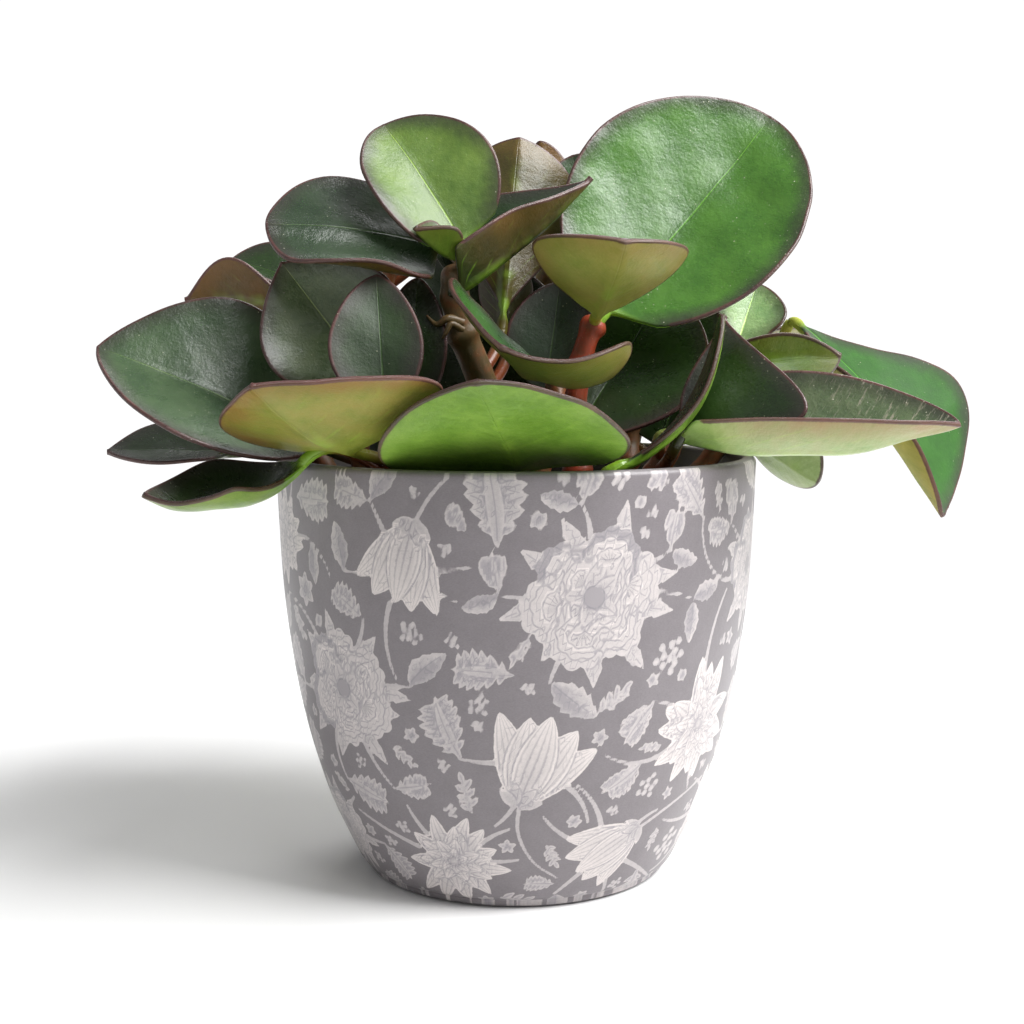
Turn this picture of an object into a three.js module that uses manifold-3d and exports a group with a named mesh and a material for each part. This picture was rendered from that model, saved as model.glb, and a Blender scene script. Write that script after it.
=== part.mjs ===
// Potted red edge peperomia: a ceramic planter, a nursery pot in it, soil, stems and thick leaves.
// Millimetres, +Z up. The planter stands on z = 0 round the Z axis, and the front faces -Y.
import * as THREE from "three";
import { mergeVertices } from "three/addons/utils/BufferGeometryUtils.js";
import Module from "manifold-3d";

const wasm = await Module();
wasm.setup();

// Driving dimensions
const PLANTER_HEIGHT = 122;
const RIM_ROUND = 1.7;
const FOOT_ROUND = 2.5;
const WALL = 4.4;
const FLOOR = 7;
const PLANTER_SIDES = 40;
// Outer radius of the planter wall at fractions of its height.
const PLANTER_WALL = [
  [0.03, 46.6], [0.07, 49.2], [0.12, 52.1], [0.18, 55.3], [0.25, 58.2], [0.35, 61.7],
  [0.45, 64.4], [0.57, 66.7], [0.7, 68.4], [0.85, 69.4],
];
const FOOT_RADIUS = 45;
const RIM_RADIUS = 70;

const NURSERY_TOP = 115.5;
const NURSERY_TOP_RADIUS = 63.6;
const NURSERY_FOOT_RADIUS = 43;
const NURSERY_WALL = 1.2;
const GAP = 0.3;

const SOIL_TOP = 111;
const SOIL_BUMP = 1.1;
const STEM_FOOT = 103;

const BLADE_EDGE = 1.0;
const BLADE_MIDRIB = 2.6;
const STALK_RADIUS = 1.7;

// Stems: centreline points from the soil up, radius at the foot and at the top.
const STEMS = {
  a: [[[-2, -4, STEM_FOOT], [-5, -9, 124], [-10, -14, 144], [-16, -20, 160], [-17, -22, 170], [-15, -22.5, 176]], 5, 3.2],
  b: [[[20, -6, STEM_FOOT], [17, -9, 128], [18, -10, 146], [21, -10, 157], [24, -9, 162]], 3.6, 2.8],
  c: [[[-34, -10, STEM_FOOT], [-43, -21, 120], [-48, -20, 138], [-56, -8, 156], [-60, -1, 163]], 3.4, 2.1],
  d: [[[8, -28, STEM_FOOT], [6, -32, 116], [9, -30, 128], [11, -25, 138], [11, -20, 144]], 3.2, 2.2],
  e: [[[34, -20, STEM_FOOT], [40, -24, 120], [52, -12, 136], [64, 4, 148]], 3.2, 2.1],
  f: [[[48, 16, STEM_FOOT], [60, 15, 121], [73, 18, 137], [80, 16, 152]], 3.2, 2.3],
  g: [[[2, 26, STEM_FOOT], [4, 34, 140], [7, 38, 168], [14, 34, 184]], 4.2, 2.8],
  h: [[[-30, 20, STEM_FOOT], [-37, 28, 135], [-42, 32, 160], [-38, 31, 182]], 3.6, 2.4],
  j: [[[-26, -32, STEM_FOOT], [-32, -39, 118], [-33, -43, 126]], 3, 2.2],
  k: [[[-50, 6, STEM_FOOT], [-59, 4, 120.5], [-70, -3, 128.5]], 2.8, 2.1],
  m: [[[32, 34, STEM_FOOT], [38, 40, 130], [42, 44, 152], [43, 46, 160]], 3.6, 2.5],
  n: [[[-6, 46, STEM_FOOT], [-6, 52, 120], [-4, 54, 134]], 3.2, 2.4],
};
const STEM_SIDES = 8;

// Leaves: name (its first letter is its stem), base and tip of the blade, the way its upper face looks,
// width, and the shape: fold and cup are angles in degrees of the half blades (l left, r right as seen
// on the upper face with the tip up), arch and side bow the midrib in mm, peak is where the blade is
// widest, bexp and texp blunt the base and the tip, wl and wr widen the halves, wave and waves ripple
// the margins, and root is where the stalk leaves its stem, as a share of the stem's length.
const LEAVES = [
  ["a1", [-14.5, -23, 180.5], [-37.5, -12, 215], [0.25, -0.88, 0.36], 38,
    {fold: 14, cup: 14, arch: 2, peak: 0.48, bexp: 0.48, texp: 0.55, wr: 1.12, wl: 1}],
  ["a2", [-4, -4, 160], [1, 14, 215], [0.05, 0.95, 0.3], 44,
    {fold: 14, cup: 20, arch: -2, peak: 0.68}],
  ["a3", [-16.5, -25.5, 169], [21, -14, 200.5], [-0.6, -0.1, 0.75], 46,
    {foldr: 36, foldl: 42, cupr: 30, cupl: 20, arch: -1.5, peak: 0.2, bexp: 0.2, texp: 1, wr: 0.64, wl: 1.15, root: 0.75}],
  ["a4", [-14.5, -27, 178], [-27, -37, 185], [0.4, 0.02, 0.9], 17,
    {fold: 35, cup: 20, arch: -1, texp: 0.8, root: 0.88}],
  ["a5", [-21, -20, 180.5], [-67.5, -34, 185.5], [0.05, -0.6, 0.8], 47,
    {foldl: -30, foldr: 2, cupl: 80, cupr: 8, arch: 2, peak: 0.5, bexp: 0.4, wr: 1.02, wl: 1.12}],
  ["a6", [-2.5, 4, 157.5], [-4, 3, 181], [0, 0.9, 0.4], 18,
    {}],
  ["b1", [25.5, -10, 163], [77, 20, 222], [-0.1, -0.93, 0.35], 73,
    {fold: 5, cup: 30, arch: -3, peak: 0.48, bexp: 0.44, texp: 0.5, wl: 1.04, wr: 0.96}],
  ["b2", [22.5, -18, 162], [28.5, -46, 181], [-0.05, 0.55, 0.8], 48,
    {fold: 12, cup: 24, arch: -2, peak: 0.6, root: 0.93}],
  ["b3", [8.5, -2, 138], [13, 2, 172], [-0.2, -0.9, 0.3], 28,
    {fold: 8}],
  ["b4", [16, -12, 126.5], [44, 12, 169], [-0.2, -0.9, 0.35], 42,
    {fold: 6, cup: 12, wl: 0.75, wr: 1.3, texp: 0.45}],
  ["c1", [-54.5, -22, 125.5], [-114.5, -31, 153], [-0.18, -0.8, 0.55], 58,
    {foldr: 0, foldl: 34, cup: 10, arch: 3, peak: 0.5, texp: 0.75, bexp: 0.7}],
  ["c2", [-38.5, -30, 141.5], [-64, -30, 176], [-0.1, -0.88, 0.42], 42,
    {fold: 10, cup: 14, arch: 2, peak: 0.48, texp: 0.85, wr: 1}],
  ["c3", [-66, 4, 166.5], [-98.5, 8, 167.5], [0.05, 0.82, 0.5], 24,
    {fold: 10, cup: 15, arch: 2, bexp: 1, texp: 1.2, peak: 0.57}],
  ["d1", [2, -44, 120.5], [-9.5, -88, 145], [0.05, 0.45, 0.88], 64,
    {foldl: 4, cupl: -14, foldr: -4, cupr: -8, wr: 1.03, arch: -1, peak: 0.42, bexp: 0.42, texp: 0.6}],
  ["d2", [10, -24, 146], [-3.5, -67, 153], [0.36, 0.15, 0.92], 54,
    {foldr: 20, cupr: 20, foldl: -10, cupl: 70, wr: 1.2, wl: 1.2, arch: -3, peak: 0.56, bexp: 0.5, texp: 0.6}],
  ["e1", [27, -48, 122], [54.5, -41, 162], [-0.88, -0.2, 0.3], 40,
    {foldr: 15, foldl: 8, cupr: 10, cupl: 10, arch: -8, peak: 0.58, wr: 0.5, wl: 0.25}],
  ["e2", [44, -40, 130], [57, -30, 161.5], [-0.35, -0.8, 0.4], 50,
    {foldr: 2, foldl: 20, cup: 4, peak: 0.38, bexp: 1.4, texp: 1.3, wl: 0.15, wr: 1.28}],
  ["e3", [67.5, 20, 153.5], [75, 30, 173], [0.1, -0.85, 0.5], 25,
    {}],
  ["e4", [60.5, -12, 150.5], [89.5, -27, 151], [0.1, 0.75, 0.65], 25,
    {fold: 8, cup: 12, texp: 0.7, bexp: 0.5, peak: 0.5, wl: 1.2, wr: 0.6}],
  ["e5", [43, -38, 129.5], [115, -54, 133.5], [0.02, -0.3, 0.95], 44,
    {foldr: 38, cupr: 40, foldl: 24, cupl: 38, arch: -6, peak: 0.42, bexp: 0.3, texp: 0.6, wr: 0.74, wl: 1.12}],
  ["f1", [81, 28, 135], [93, 32, 147.5], [0.3, -0.8, 0.4], 26,
    {}],
  ["f2", [84.5, 12, 160.5], [125, -8, 106.5], [0.45, -0.62, 0.6], 56,
    {foldr: 0, cupr: 90, foldl: 4, cupl: 14, arch: 8, side: 6, peak: 0.64, bexp: 0.8, texp: 0.45, wl: 1.15, wr: 0.85}],
  ["f3", [66, -4, 129], [87, -14, 115], [0.2, 0.75, 0.6], 26,
    {}],
  ["g1", [14, 38, 190], [7.5, 42, 218], [0.1, 0.8, 0.5], 16,
    {}],
  ["g2", [26, 24, 183], [17.5, 34, 212.5], [-0.3, -0.7, 0.6], 30,
    {}],
  ["g3", [2, 50, 165], [2, 84, 200], [0, 0.85, 0.5], 52,
    {fold: 7, cup: 18, arch: 3, bexp: 0.55, texp: 0.5}],
  ["g4", [24, 50, 186], [42, 72, 216], [0.3, 0.8, 0.5], 44,
    {fold: 9, cup: 14, arch: 2, bexp: 0.6, root: 0.9}],
  ["g5", [0, 27, 128], [-22, 16, 181], [-0.1, -0.95, 0.3], 54,
    {fold: 8, cup: 10, arch: 1}],
  ["g6", [-4, 44, 148], [-28, 66, 162], [-0.3, 0.4, 0.85], 36,
    {fold: 10, cup: 16, arch: 3}],
  ["h1", [-37.5, 30, 187], [-50.5, 42, 204], [-0.3, -0.6, 0.7], 20,
    {}],
  ["h2", [-61.5, 32, 169], [-90.5, 38, 180], [-0.1, -0.5, 0.85], 24,
    {arch: 2}],
  ["h3", [-50, 34, 152], [-96, 62, 164], [0.15, 0.1, 1], 48,
    {fold: 10, cup: 18, arch: 4}],
  ["h4", [-46, 46, 164], [-58, 84, 192], [-0.35, 0.75, 0.5], 46,
    {fold: 8, cup: 16, arch: 3, bexp: 0.6}],
  ["h5", [-28, 38, 186], [-25, 62, 216], [-0.1, 0.85, 0.5], 42,
    {fold: 10, cup: 16, arch: 2, bexp: 0.6, root: 0.85}],
  ["h6", [-44, 38, 136], [-74, 68, 138], [-0.2, 0.2, 1], 36,
    {fold: 10, cup: 18, arch: 4}],
  ["h7", [-38, 30, 117], [-46, 31, 134], [0.1, -0.95, 0.3], 30,
    {fold: 8, cup: 12, root: 0.15}],
  ["j1", [-34, -54, 136], [-37, -42, 172], [0.05, -0.95, 0.25], 27,
    {fold: 10, cup: 12, arch: 1, peak: 0.44, texp: 0.6, wr: 0.85, wl: 1.05}],
  ["j2", [-30.5, -28, 130.5], [-27.5, -18, 172.5], [0.1, -0.95, 0.25], 20,
    {fold: 10, cup: 12, arch: 1, peak: 0.5, texp: 0.6}],
  ["j3", [-43.5, -47, 126], [-63.5, -84, 144], [0.15, 0.5, 0.85], 62,
    {foldr: 0, cupr: 6, foldl: 12, cupl: 4, arch: -2, peak: 0.44, bexp: 0.6, texp: 0.85, wr: 0.8, wl: 1.22}],
  ["j4", [-56, -46, 123.5], [-96, -59, 115.5], [-0.1, -0.45, 0.85], 42,
    {foldr: 0, cupr: 40, foldl: 20, cupl: 40, arch: -8.5, texp: 0.75, wr: 0.82, wl: 1.05, root: 0.4}],
  ["k1", [-81.5, -8, 123], [-117, -14, 123.5], [0, -0.4, 0.9], 26,
    {fold: 8, cup: 16, arch: 0, texp: 0.8}],
  ["k2", [-62, 24, 126], [-106, 52, 120], [-0.1, 0.2, 1], 50,
    {fold: 12, cup: 18, arch: 5}],
  ["m1", [44, 50, 165], [62, 84, 188], [0.4, 0.7, 0.55], 48,
    {fold: 8, cup: 16, arch: 3, bexp: 0.6}],
  ["m2", [52, 44, 147], [98, 68, 146], [0.2, 0.1, 1], 52,
    {fold: 10, cup: 20, arch: 5}],
  ["m3", [52, 48, 128], [90, 80, 114], [0.3, 0.3, 0.9], 46,
    {fold: 8, cup: 22, arch: 7}],
  ["m4", [36, 48, 146], [27, 78, 160], [0, 0.4, 0.9], 36,
    {fold: 10, cup: 18, arch: 3}],
  ["m5", [46, 36, 121], [60, 42, 168], [-0.15, -0.95, 0.3], 44,
    {fold: 8, cup: 12, bexp: 0.4, wr: 0.7, root: 0.25}],
  ["n1", [-22, 60, 134], [-40, 104, 138], [-0.1, 0.15, 1], 50,
    {fold: 10, cup: 16, arch: 5}],
  ["n2", [20, 60, 136], [32, 108, 134], [0.1, 0.2, 1], 50,
    {fold: 8, cup: 20, arch: 5}],
  ["n3", [-2, 64, 124], [-4, 104, 108], [0, 0.6, 0.8], 44,
    {fold: 6, cup: 26, arch: 6}],
];

const V = (p) => new THREE.Vector3(...p);
const rad = (d) => (d * Math.PI) / 180;

// A closed solid from rings of points: each ring joined to the next, with a flat cap on both ends.
function loft(rings, cap) {
  const count = rings[0].length;
  const position = rings.flat().flatMap((p) => [p.x, p.y, p.z]);
  const index = [];
  for (let i = 0; i + 1 < rings.length; i++) {
    for (let j = 0; j < count; j++) {
      const a = i * count + j;
      const b = i * count + ((j + 1) % count);
      index.push(a, b, b + count, a, b + count, a + count);
    }
  }
  const last = (rings.length - 1) * count;
  for (const [p, q, r] of cap) {
    index.push(r, q, p, last + p, last + q, last + r);
  }
  const geometry = new THREE.BufferGeometry();
  geometry.setAttribute("position", new THREE.BufferAttribute(new Float32Array(position), 3));
  geometry.setIndex(index);
  return geometry;
}

// Cap triangles of a round ring, as a fan.
function fan(count) {
  const cap = [];
  for (let j = 1; j + 1 < count; j++) cap.push([0, j, j + 1]);
  return cap;
}

// Cap triangles of a flat ring whose first half runs over and whose second half runs back.
function ladder(count) {
  const cap = [];
  for (let j = 0; j + 1 < count / 2; j++) {
    const k = count - 1 - j;
    cap.push([j, j + 1, k], [j + 1, k - 1, k]);
  }
  return cap;
}

// A manifold-3d solid of a closed geometry, turned outward if its faces point in.
function solid(geometry) {
  const bare = geometry.clone();
  bare.deleteAttribute("normal");
  bare.deleteAttribute("uv");
  const merged = mergeVertices(bare, 1e-4);
  const triVerts = new Uint32Array(merged.index.array);
  const mesh = new wasm.Mesh({numProp: 3, vertProperties: new Float32Array(merged.attributes.position.array), triVerts});
  const made = new wasm.Manifold(mesh);
  if (made.volume() >= 0) return made;
  for (let i = 0; i < triVerts.length; i += 3) {
    [triVerts[i + 1], triVerts[i + 2]] = [triVerts[i + 2], triVerts[i + 1]];
  }
  return new wasm.Manifold(new wasm.Mesh({numProp: 3, vertProperties: mesh.vertProperties, triVerts}));
}

// The largest body of a solid, as a three.js geometry.
function geometryOf(made) {
  const bodies = made.decompose().sort((a, b) => b.volume() - a.volume());
  const mesh = bodies[0].getMesh();
  const geometry = new THREE.BufferGeometry();
  const position = new Float32Array(mesh.numVert * 3);
  for (let i = 0; i < mesh.numVert; i++) {
    position.set(mesh.vertProperties.subarray(i * mesh.numProp, i * mesh.numProp + 3), i * 3);
  }
  geometry.setAttribute("position", new THREE.BufferAttribute(position, 3));
  geometry.setIndex(new THREE.BufferAttribute(new Uint32Array(mesh.triVerts), 1));
  geometry.computeVertexNormals();
  return geometry;
}

// A solid of revolution round Z from [radius, z] points, closed on itself or on the axis.
function turned(profile, sides) {
  const points = profile.map(([r, z]) => new THREE.Vector2(r, z));
  return solid(new THREE.LatheGeometry(points, sides).rotateX(Math.PI / 2));
}

// Points of an arc in the profile plane, angles in degrees.
function arc(r, z, radius, from, to, steps) {
  const points = [];
  for (let i = 0; i <= steps; i++) {
    const a = rad(from + ((to - from) * i) / steps);
    points.push([r + radius * Math.cos(a), z + radius * Math.sin(a)]);
  }
  return points;
}

function planterSolid() {
  const inner = PLANTER_WALL.filter(([f], i) => f > 0.1 && i % 2 === 0).map(([f, r]) => [r - WALL, f * PLANTER_HEIGHT]);
  const profile = [
    [0, 0],
    ...arc(FOOT_RADIUS - FOOT_ROUND, FOOT_ROUND, FOOT_ROUND, -90, -25, 2),
    ...PLANTER_WALL.map(([f, r]) => [r, f * PLANTER_HEIGHT]),
    ...arc(RIM_RADIUS - RIM_ROUND, PLANTER_HEIGHT - RIM_ROUND, RIM_ROUND, 0, 90, 3),
    ...arc(RIM_RADIUS - WALL + RIM_ROUND, PLANTER_HEIGHT - RIM_ROUND, RIM_ROUND, 90, 180, 3),
    ...inner.reverse(),
    [inner[inner.length - 1][0] - 3, FLOOR],
    [0, FLOOR],
  ];
  return turned(profile, PLANTER_SIDES);
}

function nurserySolid() {
  const foot = FLOOR + GAP;
  const slope = (NURSERY_TOP_RADIUS - 1 - NURSERY_FOOT_RADIUS) / (NURSERY_TOP - foot);
  const at = (z) => NURSERY_FOOT_RADIUS + slope * (z - foot);
  const profile = [
    [0, foot],
    [NURSERY_FOOT_RADIUS, foot],
    [at(NURSERY_TOP - 10), NURSERY_TOP - 10],
    [NURSERY_TOP_RADIUS - 0.4, NURSERY_TOP - 9.6],
    [NURSERY_TOP_RADIUS, NURSERY_TOP],
    [NURSERY_TOP_RADIUS - NURSERY_WALL - 0.4, NURSERY_TOP],
    [at(NURSERY_TOP - 10) - NURSERY_WALL, NURSERY_TOP - 10],
    [NURSERY_FOOT_RADIUS - NURSERY_WALL, foot + NURSERY_WALL],
    [0, foot + NURSERY_WALL],
  ];
  return turned(profile, 32);
}

const soilHeight = (x, y) =>
  SOIL_TOP + SOIL_BUMP * (Math.sin(x / 7 + 1) * Math.cos(y / 8) + 0.5 * Math.sin(x / 3.5) * Math.sin(y / 4 + 2));

// Soil: fills the nursery pot, with a low uneven top, and holds the feet of the stems.
function soilSolid() {
  const foot = FLOOR + GAP + NURSERY_WALL + GAP;
  const footRadius = NURSERY_FOOT_RADIUS - NURSERY_WALL - 0.4;
  const slope = (NURSERY_TOP_RADIUS - 1 - NURSERY_FOOT_RADIUS) / (NURSERY_TOP - FLOOR - GAP);
  const topRadius = footRadius + slope * (SOIL_TOP - SOIL_BUMP - foot) - 0.2;
  const sides = 24;
  const steps = [1, 0.72, 0.4];
  const ring = (radius, height) => {
    const points = [];
    for (let j = 0; j < sides; j++) {
      const a = (2 * Math.PI * j) / sides;
      const x = radius * Math.cos(a);
      const y = radius * Math.sin(a);
      points.push(new THREE.Vector3(x, y, height ?? soilHeight(x, y)));
    }
    return points;
  };
  const rings = [ring(footRadius, foot), ring(topRadius - 0.4, SOIL_TOP - 3)];
  for (const f of steps) rings.push(ring(topRadius * f));
  return solid(loft(rings, fan(sides)));
}

// Points along a smooth curve through the given ones.
function curve(points, steps) {
  return new THREE.CatmullRomCurve3(points.map(V), false, "centripetal").getPoints(steps);
}

// Round tube along points, with its radius running from r0 to r1.
function tubeSolid(path, r0, r1, sides, grow = 0) {
  const rings = path.map((p, i) => {
    const ahead = path[Math.min(i + 1, path.length - 1)];
    const behind = path[Math.max(i - 1, 0)];
    const t = ahead.clone().sub(behind).normalize();
    const u = new THREE.Vector3(1, 0, 0).cross(t).normalize();
    const w = t.clone().cross(u);
    const r = r0 + ((r1 - r0) * i) / (path.length - 1) + grow;
    const ring = [];
    for (let j = 0; j < sides; j++) {
      const a = (2 * Math.PI * j) / sides;
      ring.push(p.clone().addScaledVector(u, r * Math.cos(a)).addScaledVector(w, r * Math.sin(a)));
    }
    return ring;
  });
  if (grow) {
    const lift = (ring, t) => ring.map((p) => p.clone().addScaledVector(t, grow));
    const up = path[path.length - 1].clone().sub(path[path.length - 2]).normalize();
    const down = path[0].clone().sub(path[1]).normalize();
    rings[0] = lift(rings[0], down);
    rings[rings.length - 1] = lift(rings[rings.length - 1], up);
  }
  return solid(loft(rings, fan(sides)));
}

// Share of the full width at s from base to tip: sin(pi s^a)^e, widest at s = peak.
function halfWidth(s, peak, bexp, texp) {
  const a = Math.log(0.5) / Math.log(peak);
  const e = bexp + (texp - bexp) * s;
  return Math.pow(Math.max(Math.sin(Math.PI * Math.pow(s, a)), 0), e);
}

// Frame of a leaf: chord, face and side directions and its midrib curve.
function leafFrame(base, tip, face, shape) {
  const chord = tip.clone().sub(base);
  const along = chord.clone().normalize();
  const up = face.clone().addScaledVector(along, -face.dot(along)).normalize();
  const side = along.clone().cross(up);
  const {arch = 0, side: bow = 0} = shape;
  const at = (s) => base.clone().addScaledVector(chord, s)
    .addScaledVector(up, 4 * s * (1 - s) * arch).addScaledVector(side, 4 * s * (1 - s) * bow);
  const direction = (s) => chord.clone()
    .addScaledVector(up, 4 * (1 - 2 * s) * arch).addScaledVector(side, 4 * (1 - 2 * s) * bow).normalize();
  const normal = (s) => {
    const t = direction(s);
    return up.clone().addScaledVector(t, -up.dot(t)).normalize();
  };
  return {at, direction, normal, length: chord.length()};
}

// One leaf: rings along the stalk and the blade. Each ring runs over the upper face from the left
// margin to the right one and back along the underside.
function leafSolid(row, stem) {
  const [, b, t, f, width, shape] = row;
  const frame = leafFrame(V(b), V(t), V(f), shape);
  const {peak = 0.52, bexp = 0.85, texp = 0.55, fold = 15, cup = 20, wl = 1, wr = 1, root, wave = 0, waves = 1} = shape;
  const {foldl = fold, foldr = fold, cupl = cup, cupr = cup} = shape;
  const big = width * frame.length > 1700;
  const across = big ? 3 : 2;
  const along = big ? 7 : 5;
  const half = width / 2;
  const rings = [];

  // Stalk: from the stem's centreline to the blade's base.
  const start = frame.direction(0);
  const aim = frame.at(0).addScaledVector(start, -10);
  const nearest = stem.reduce((p, q) => (q.distanceTo(aim) < p.distanceTo(aim) ? q : p));
  const foot = root === undefined ? nearest : stem[Math.round(root * (stem.length - 1))];
  const reach = foot.distanceTo(frame.at(0));
  const stalk = new THREE.CubicBezierCurve3(
    foot, foot.clone().lerp(frame.at(0).addScaledVector(start, -0.4 * reach), 0.5),
    frame.at(0).addScaledVector(start, -0.4 * reach), frame.at(0));
  const steps = reach > 16 ? 3 : 2;
  const n0 = frame.normal(0);
  for (let i = 0; i < steps; i++) {
    const p = stalk.getPoint(i / steps);
    const d = stalk.getTangent(i / steps).normalize();
    const n = n0.clone().addScaledVector(d, -n0.dot(d)).normalize();
    const s = d.clone().cross(n);
    const upper = [];
    const lower = [];
    for (let j = -across; j <= across; j++) {
      const a = (0.42 * Math.PI * j) / across;
      const x = STALK_RADIUS * Math.sin(a);
      const z = STALK_RADIUS * Math.cos(a);
      upper.push(p.clone().addScaledVector(s, x).addScaledVector(n, 0.8 * z));
      lower.unshift(p.clone().addScaledVector(s, x).addScaledVector(n, -z));
    }
    rings.push([...upper, ...lower]);
  }

  // Blade.
  for (let i = 0; i <= along; i++) {
    const k = i / along;
    const s = 0.35 * k + 0.325 * (1 - Math.cos(Math.PI * k));
    const c = frame.at(s);
    const d = frame.direction(s);
    const n = frame.normal(s);
    const e = d.clone().cross(n);
    const w = Math.max(half * halfWidth(s, peak, bexp, texp), i === 0 ? STALK_RADIUS : 1.2);
    const upper = [];
    const lower = [];
    for (let j = -across; j <= across; j++) {
      const q = j / across;
      const f0 = rad(q >= 0 ? foldr : foldl);
      const turn = rad(q >= 0 ? cupr : cupl) || 1e-3;
      const kk = turn / half;
      const a = Math.abs(q) * w * (q >= 0 ? wr : wl);
      const x = Math.sign(q) * ((Math.sin(f0 + kk * a) - Math.sin(f0)) / kk);
      const swell = Math.sin(2 * Math.PI * waves * s + (q > 0 ? 0.5 : 2.2)) * Math.sin(Math.PI * s);
      const z = (Math.cos(f0) - Math.cos(f0 + kk * a)) / kk + wave * q * q * swell;
      const lean = j === 0 ? 0 : f0 + kk * a;
      const m = n.clone().multiplyScalar(Math.cos(lean)).addScaledVector(e, -Math.sign(q) * Math.sin(lean));
      const rib = (BLADE_MIDRIB - BLADE_EDGE) * Math.pow(1 - Math.abs(q), 2) * (1 - 0.7 * s);
      const p = c.clone().addScaledVector(e, x).addScaledVector(n, z);
      upper.push(p.clone().addScaledVector(m, BLADE_EDGE / 2));
      lower.unshift(p.clone().addScaledVector(m, -BLADE_EDGE / 2 - rib));
    }
    rings.push([...upper, ...lower]);
  }
  return solid(loft(rings, ladder(rings[0].length)));
}

const materials = {
  planter: new THREE.MeshStandardMaterial({color: 0xb9b6b4, roughness: 0.35}),
  nursery: new THREE.MeshStandardMaterial({color: 0x1b1b1c, roughness: 0.6}),
  soil: new THREE.MeshStandardMaterial({color: 0x2c2119, roughness: 1}),
  leaf: new THREE.MeshStandardMaterial({color: 0x3f6b3a, roughness: 0.4}),
};
const plant = new THREE.Group();
plant.name = "potted_red_edge_peperomia";

function add(name, made, material) {
  const mesh = new THREE.Mesh(geometryOf(made), material);
  mesh.name = name;
  plant.add(mesh);
}

add("planter", planterSolid(), materials.planter);
add("nursery_pot", nurserySolid(), materials.nursery);

let soil = soilSolid();
for (const [letter, [points, r0, r1]] of Object.entries(STEMS)) {
  const path = curve(points, points.length + 1);
  const fine = curve(points, 60);
  let leafy = tubeSolid(path, r0, r1, STEM_SIDES);
  for (const row of LEAVES.filter(([name]) => name[0] === letter)) {
    leafy = leafy.add(leafSolid(row, fine));
  }
  soil = soil.subtract(tubeSolid(path, r0, r1, STEM_SIDES, GAP));
  add("leafy_stem_" + letter, leafy, materials.leaf);
}
add("soil", soil, materials.soil);

export default plant;
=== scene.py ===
"""A potted red edge peperomia: thick glossy leaves with red margins on short stems, in a printed ceramic planter."""

import math

import bpy
import numpy as np
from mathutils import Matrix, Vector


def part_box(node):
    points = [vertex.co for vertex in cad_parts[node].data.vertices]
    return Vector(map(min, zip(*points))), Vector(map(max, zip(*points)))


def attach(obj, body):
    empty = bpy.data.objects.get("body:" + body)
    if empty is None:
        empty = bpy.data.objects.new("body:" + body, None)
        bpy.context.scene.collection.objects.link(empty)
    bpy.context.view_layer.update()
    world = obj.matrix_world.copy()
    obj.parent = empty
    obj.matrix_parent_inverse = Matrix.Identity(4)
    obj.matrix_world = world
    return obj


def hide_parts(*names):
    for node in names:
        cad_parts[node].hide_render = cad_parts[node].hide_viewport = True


bl_info = {
    "name": "Potted Red Edge Peperomia",
    "version": (1, 0, 0),
    "blender": (4, 5, 0),
    "location": "3D View > Sidebar > Peperomia",
    "description": "Builds the planter, the soil, the stems and the leaves of a potted red edge peperomia",
    "category": "Object",
}

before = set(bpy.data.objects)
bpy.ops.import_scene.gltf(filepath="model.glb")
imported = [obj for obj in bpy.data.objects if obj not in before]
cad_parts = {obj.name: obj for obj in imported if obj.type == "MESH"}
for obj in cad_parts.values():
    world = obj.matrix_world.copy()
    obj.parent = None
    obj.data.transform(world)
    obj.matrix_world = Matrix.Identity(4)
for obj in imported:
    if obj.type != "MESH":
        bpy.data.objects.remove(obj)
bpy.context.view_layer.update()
PLANTER_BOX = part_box("planter")
NURSERY_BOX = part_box("nursery_pot")
BODY = "root"
MM = 0.001

# Stems: centreline points in mm from the soil up, radius at the foot and at the top, and how red the bark is.
STEM_FOOT = 103
STEMS = {
    "a": ([[-2, -4, STEM_FOOT], [-5, -9, 124], [-10, -14, 144], [-16, -20, 160], [-17, -22, 170], [-15, -22.5, 176]],
          5, 3.2, 0.15),
    "b": ([[20, -6, STEM_FOOT], [17, -9, 128], [18, -10, 146], [21, -10, 157], [24, -9, 162]], 3.6, 2.8, 0.8),
    "c": ([[-34, -10, STEM_FOOT], [-43, -21, 120], [-48, -20, 138], [-56, -8, 156], [-60, -1, 163]], 3.4, 2.1, 0.3),
    "d": ([[8, -28, STEM_FOOT], [6, -32, 116], [9, -30, 128], [11, -25, 138], [11, -20, 144]], 3.2, 2.2, 0.4),
    "e": ([[34, -20, STEM_FOOT], [40, -24, 120], [52, -12, 136], [64, 4, 148]], 3.2, 2.1, 0.4),
    "f": ([[48, 16, STEM_FOOT], [60, 15, 121], [73, 18, 137], [80, 16, 152]], 3.2, 2.3, 0.3),
    "g": ([[2, 26, STEM_FOOT], [4, 34, 140], [7, 38, 168], [14, 34, 184]], 4.2, 2.8, 0.2),
    "h": ([[-30, 20, STEM_FOOT], [-37, 28, 135], [-42, 32, 160], [-38, 31, 182]], 3.6, 2.4, 0.3),
    "j": ([[-26, -32, STEM_FOOT], [-32, -39, 118], [-33, -43, 126]], 3, 2.2, 0.5),
    "k": ([[-50, 6, STEM_FOOT], [-59, 4, 120.5], [-70, -3, 128.5]], 2.8, 2.1, 0.3),
    "m": ([[32, 34, STEM_FOOT], [38, 40, 130], [42, 44, 152], [43, 46, 160]], 3.6, 2.5, 0.3),
    "n": ([[-6, 46, STEM_FOOT], [-6, 52, 120], [-4, 54, 134]], 3.2, 2.4, 0.3),
}

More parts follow.
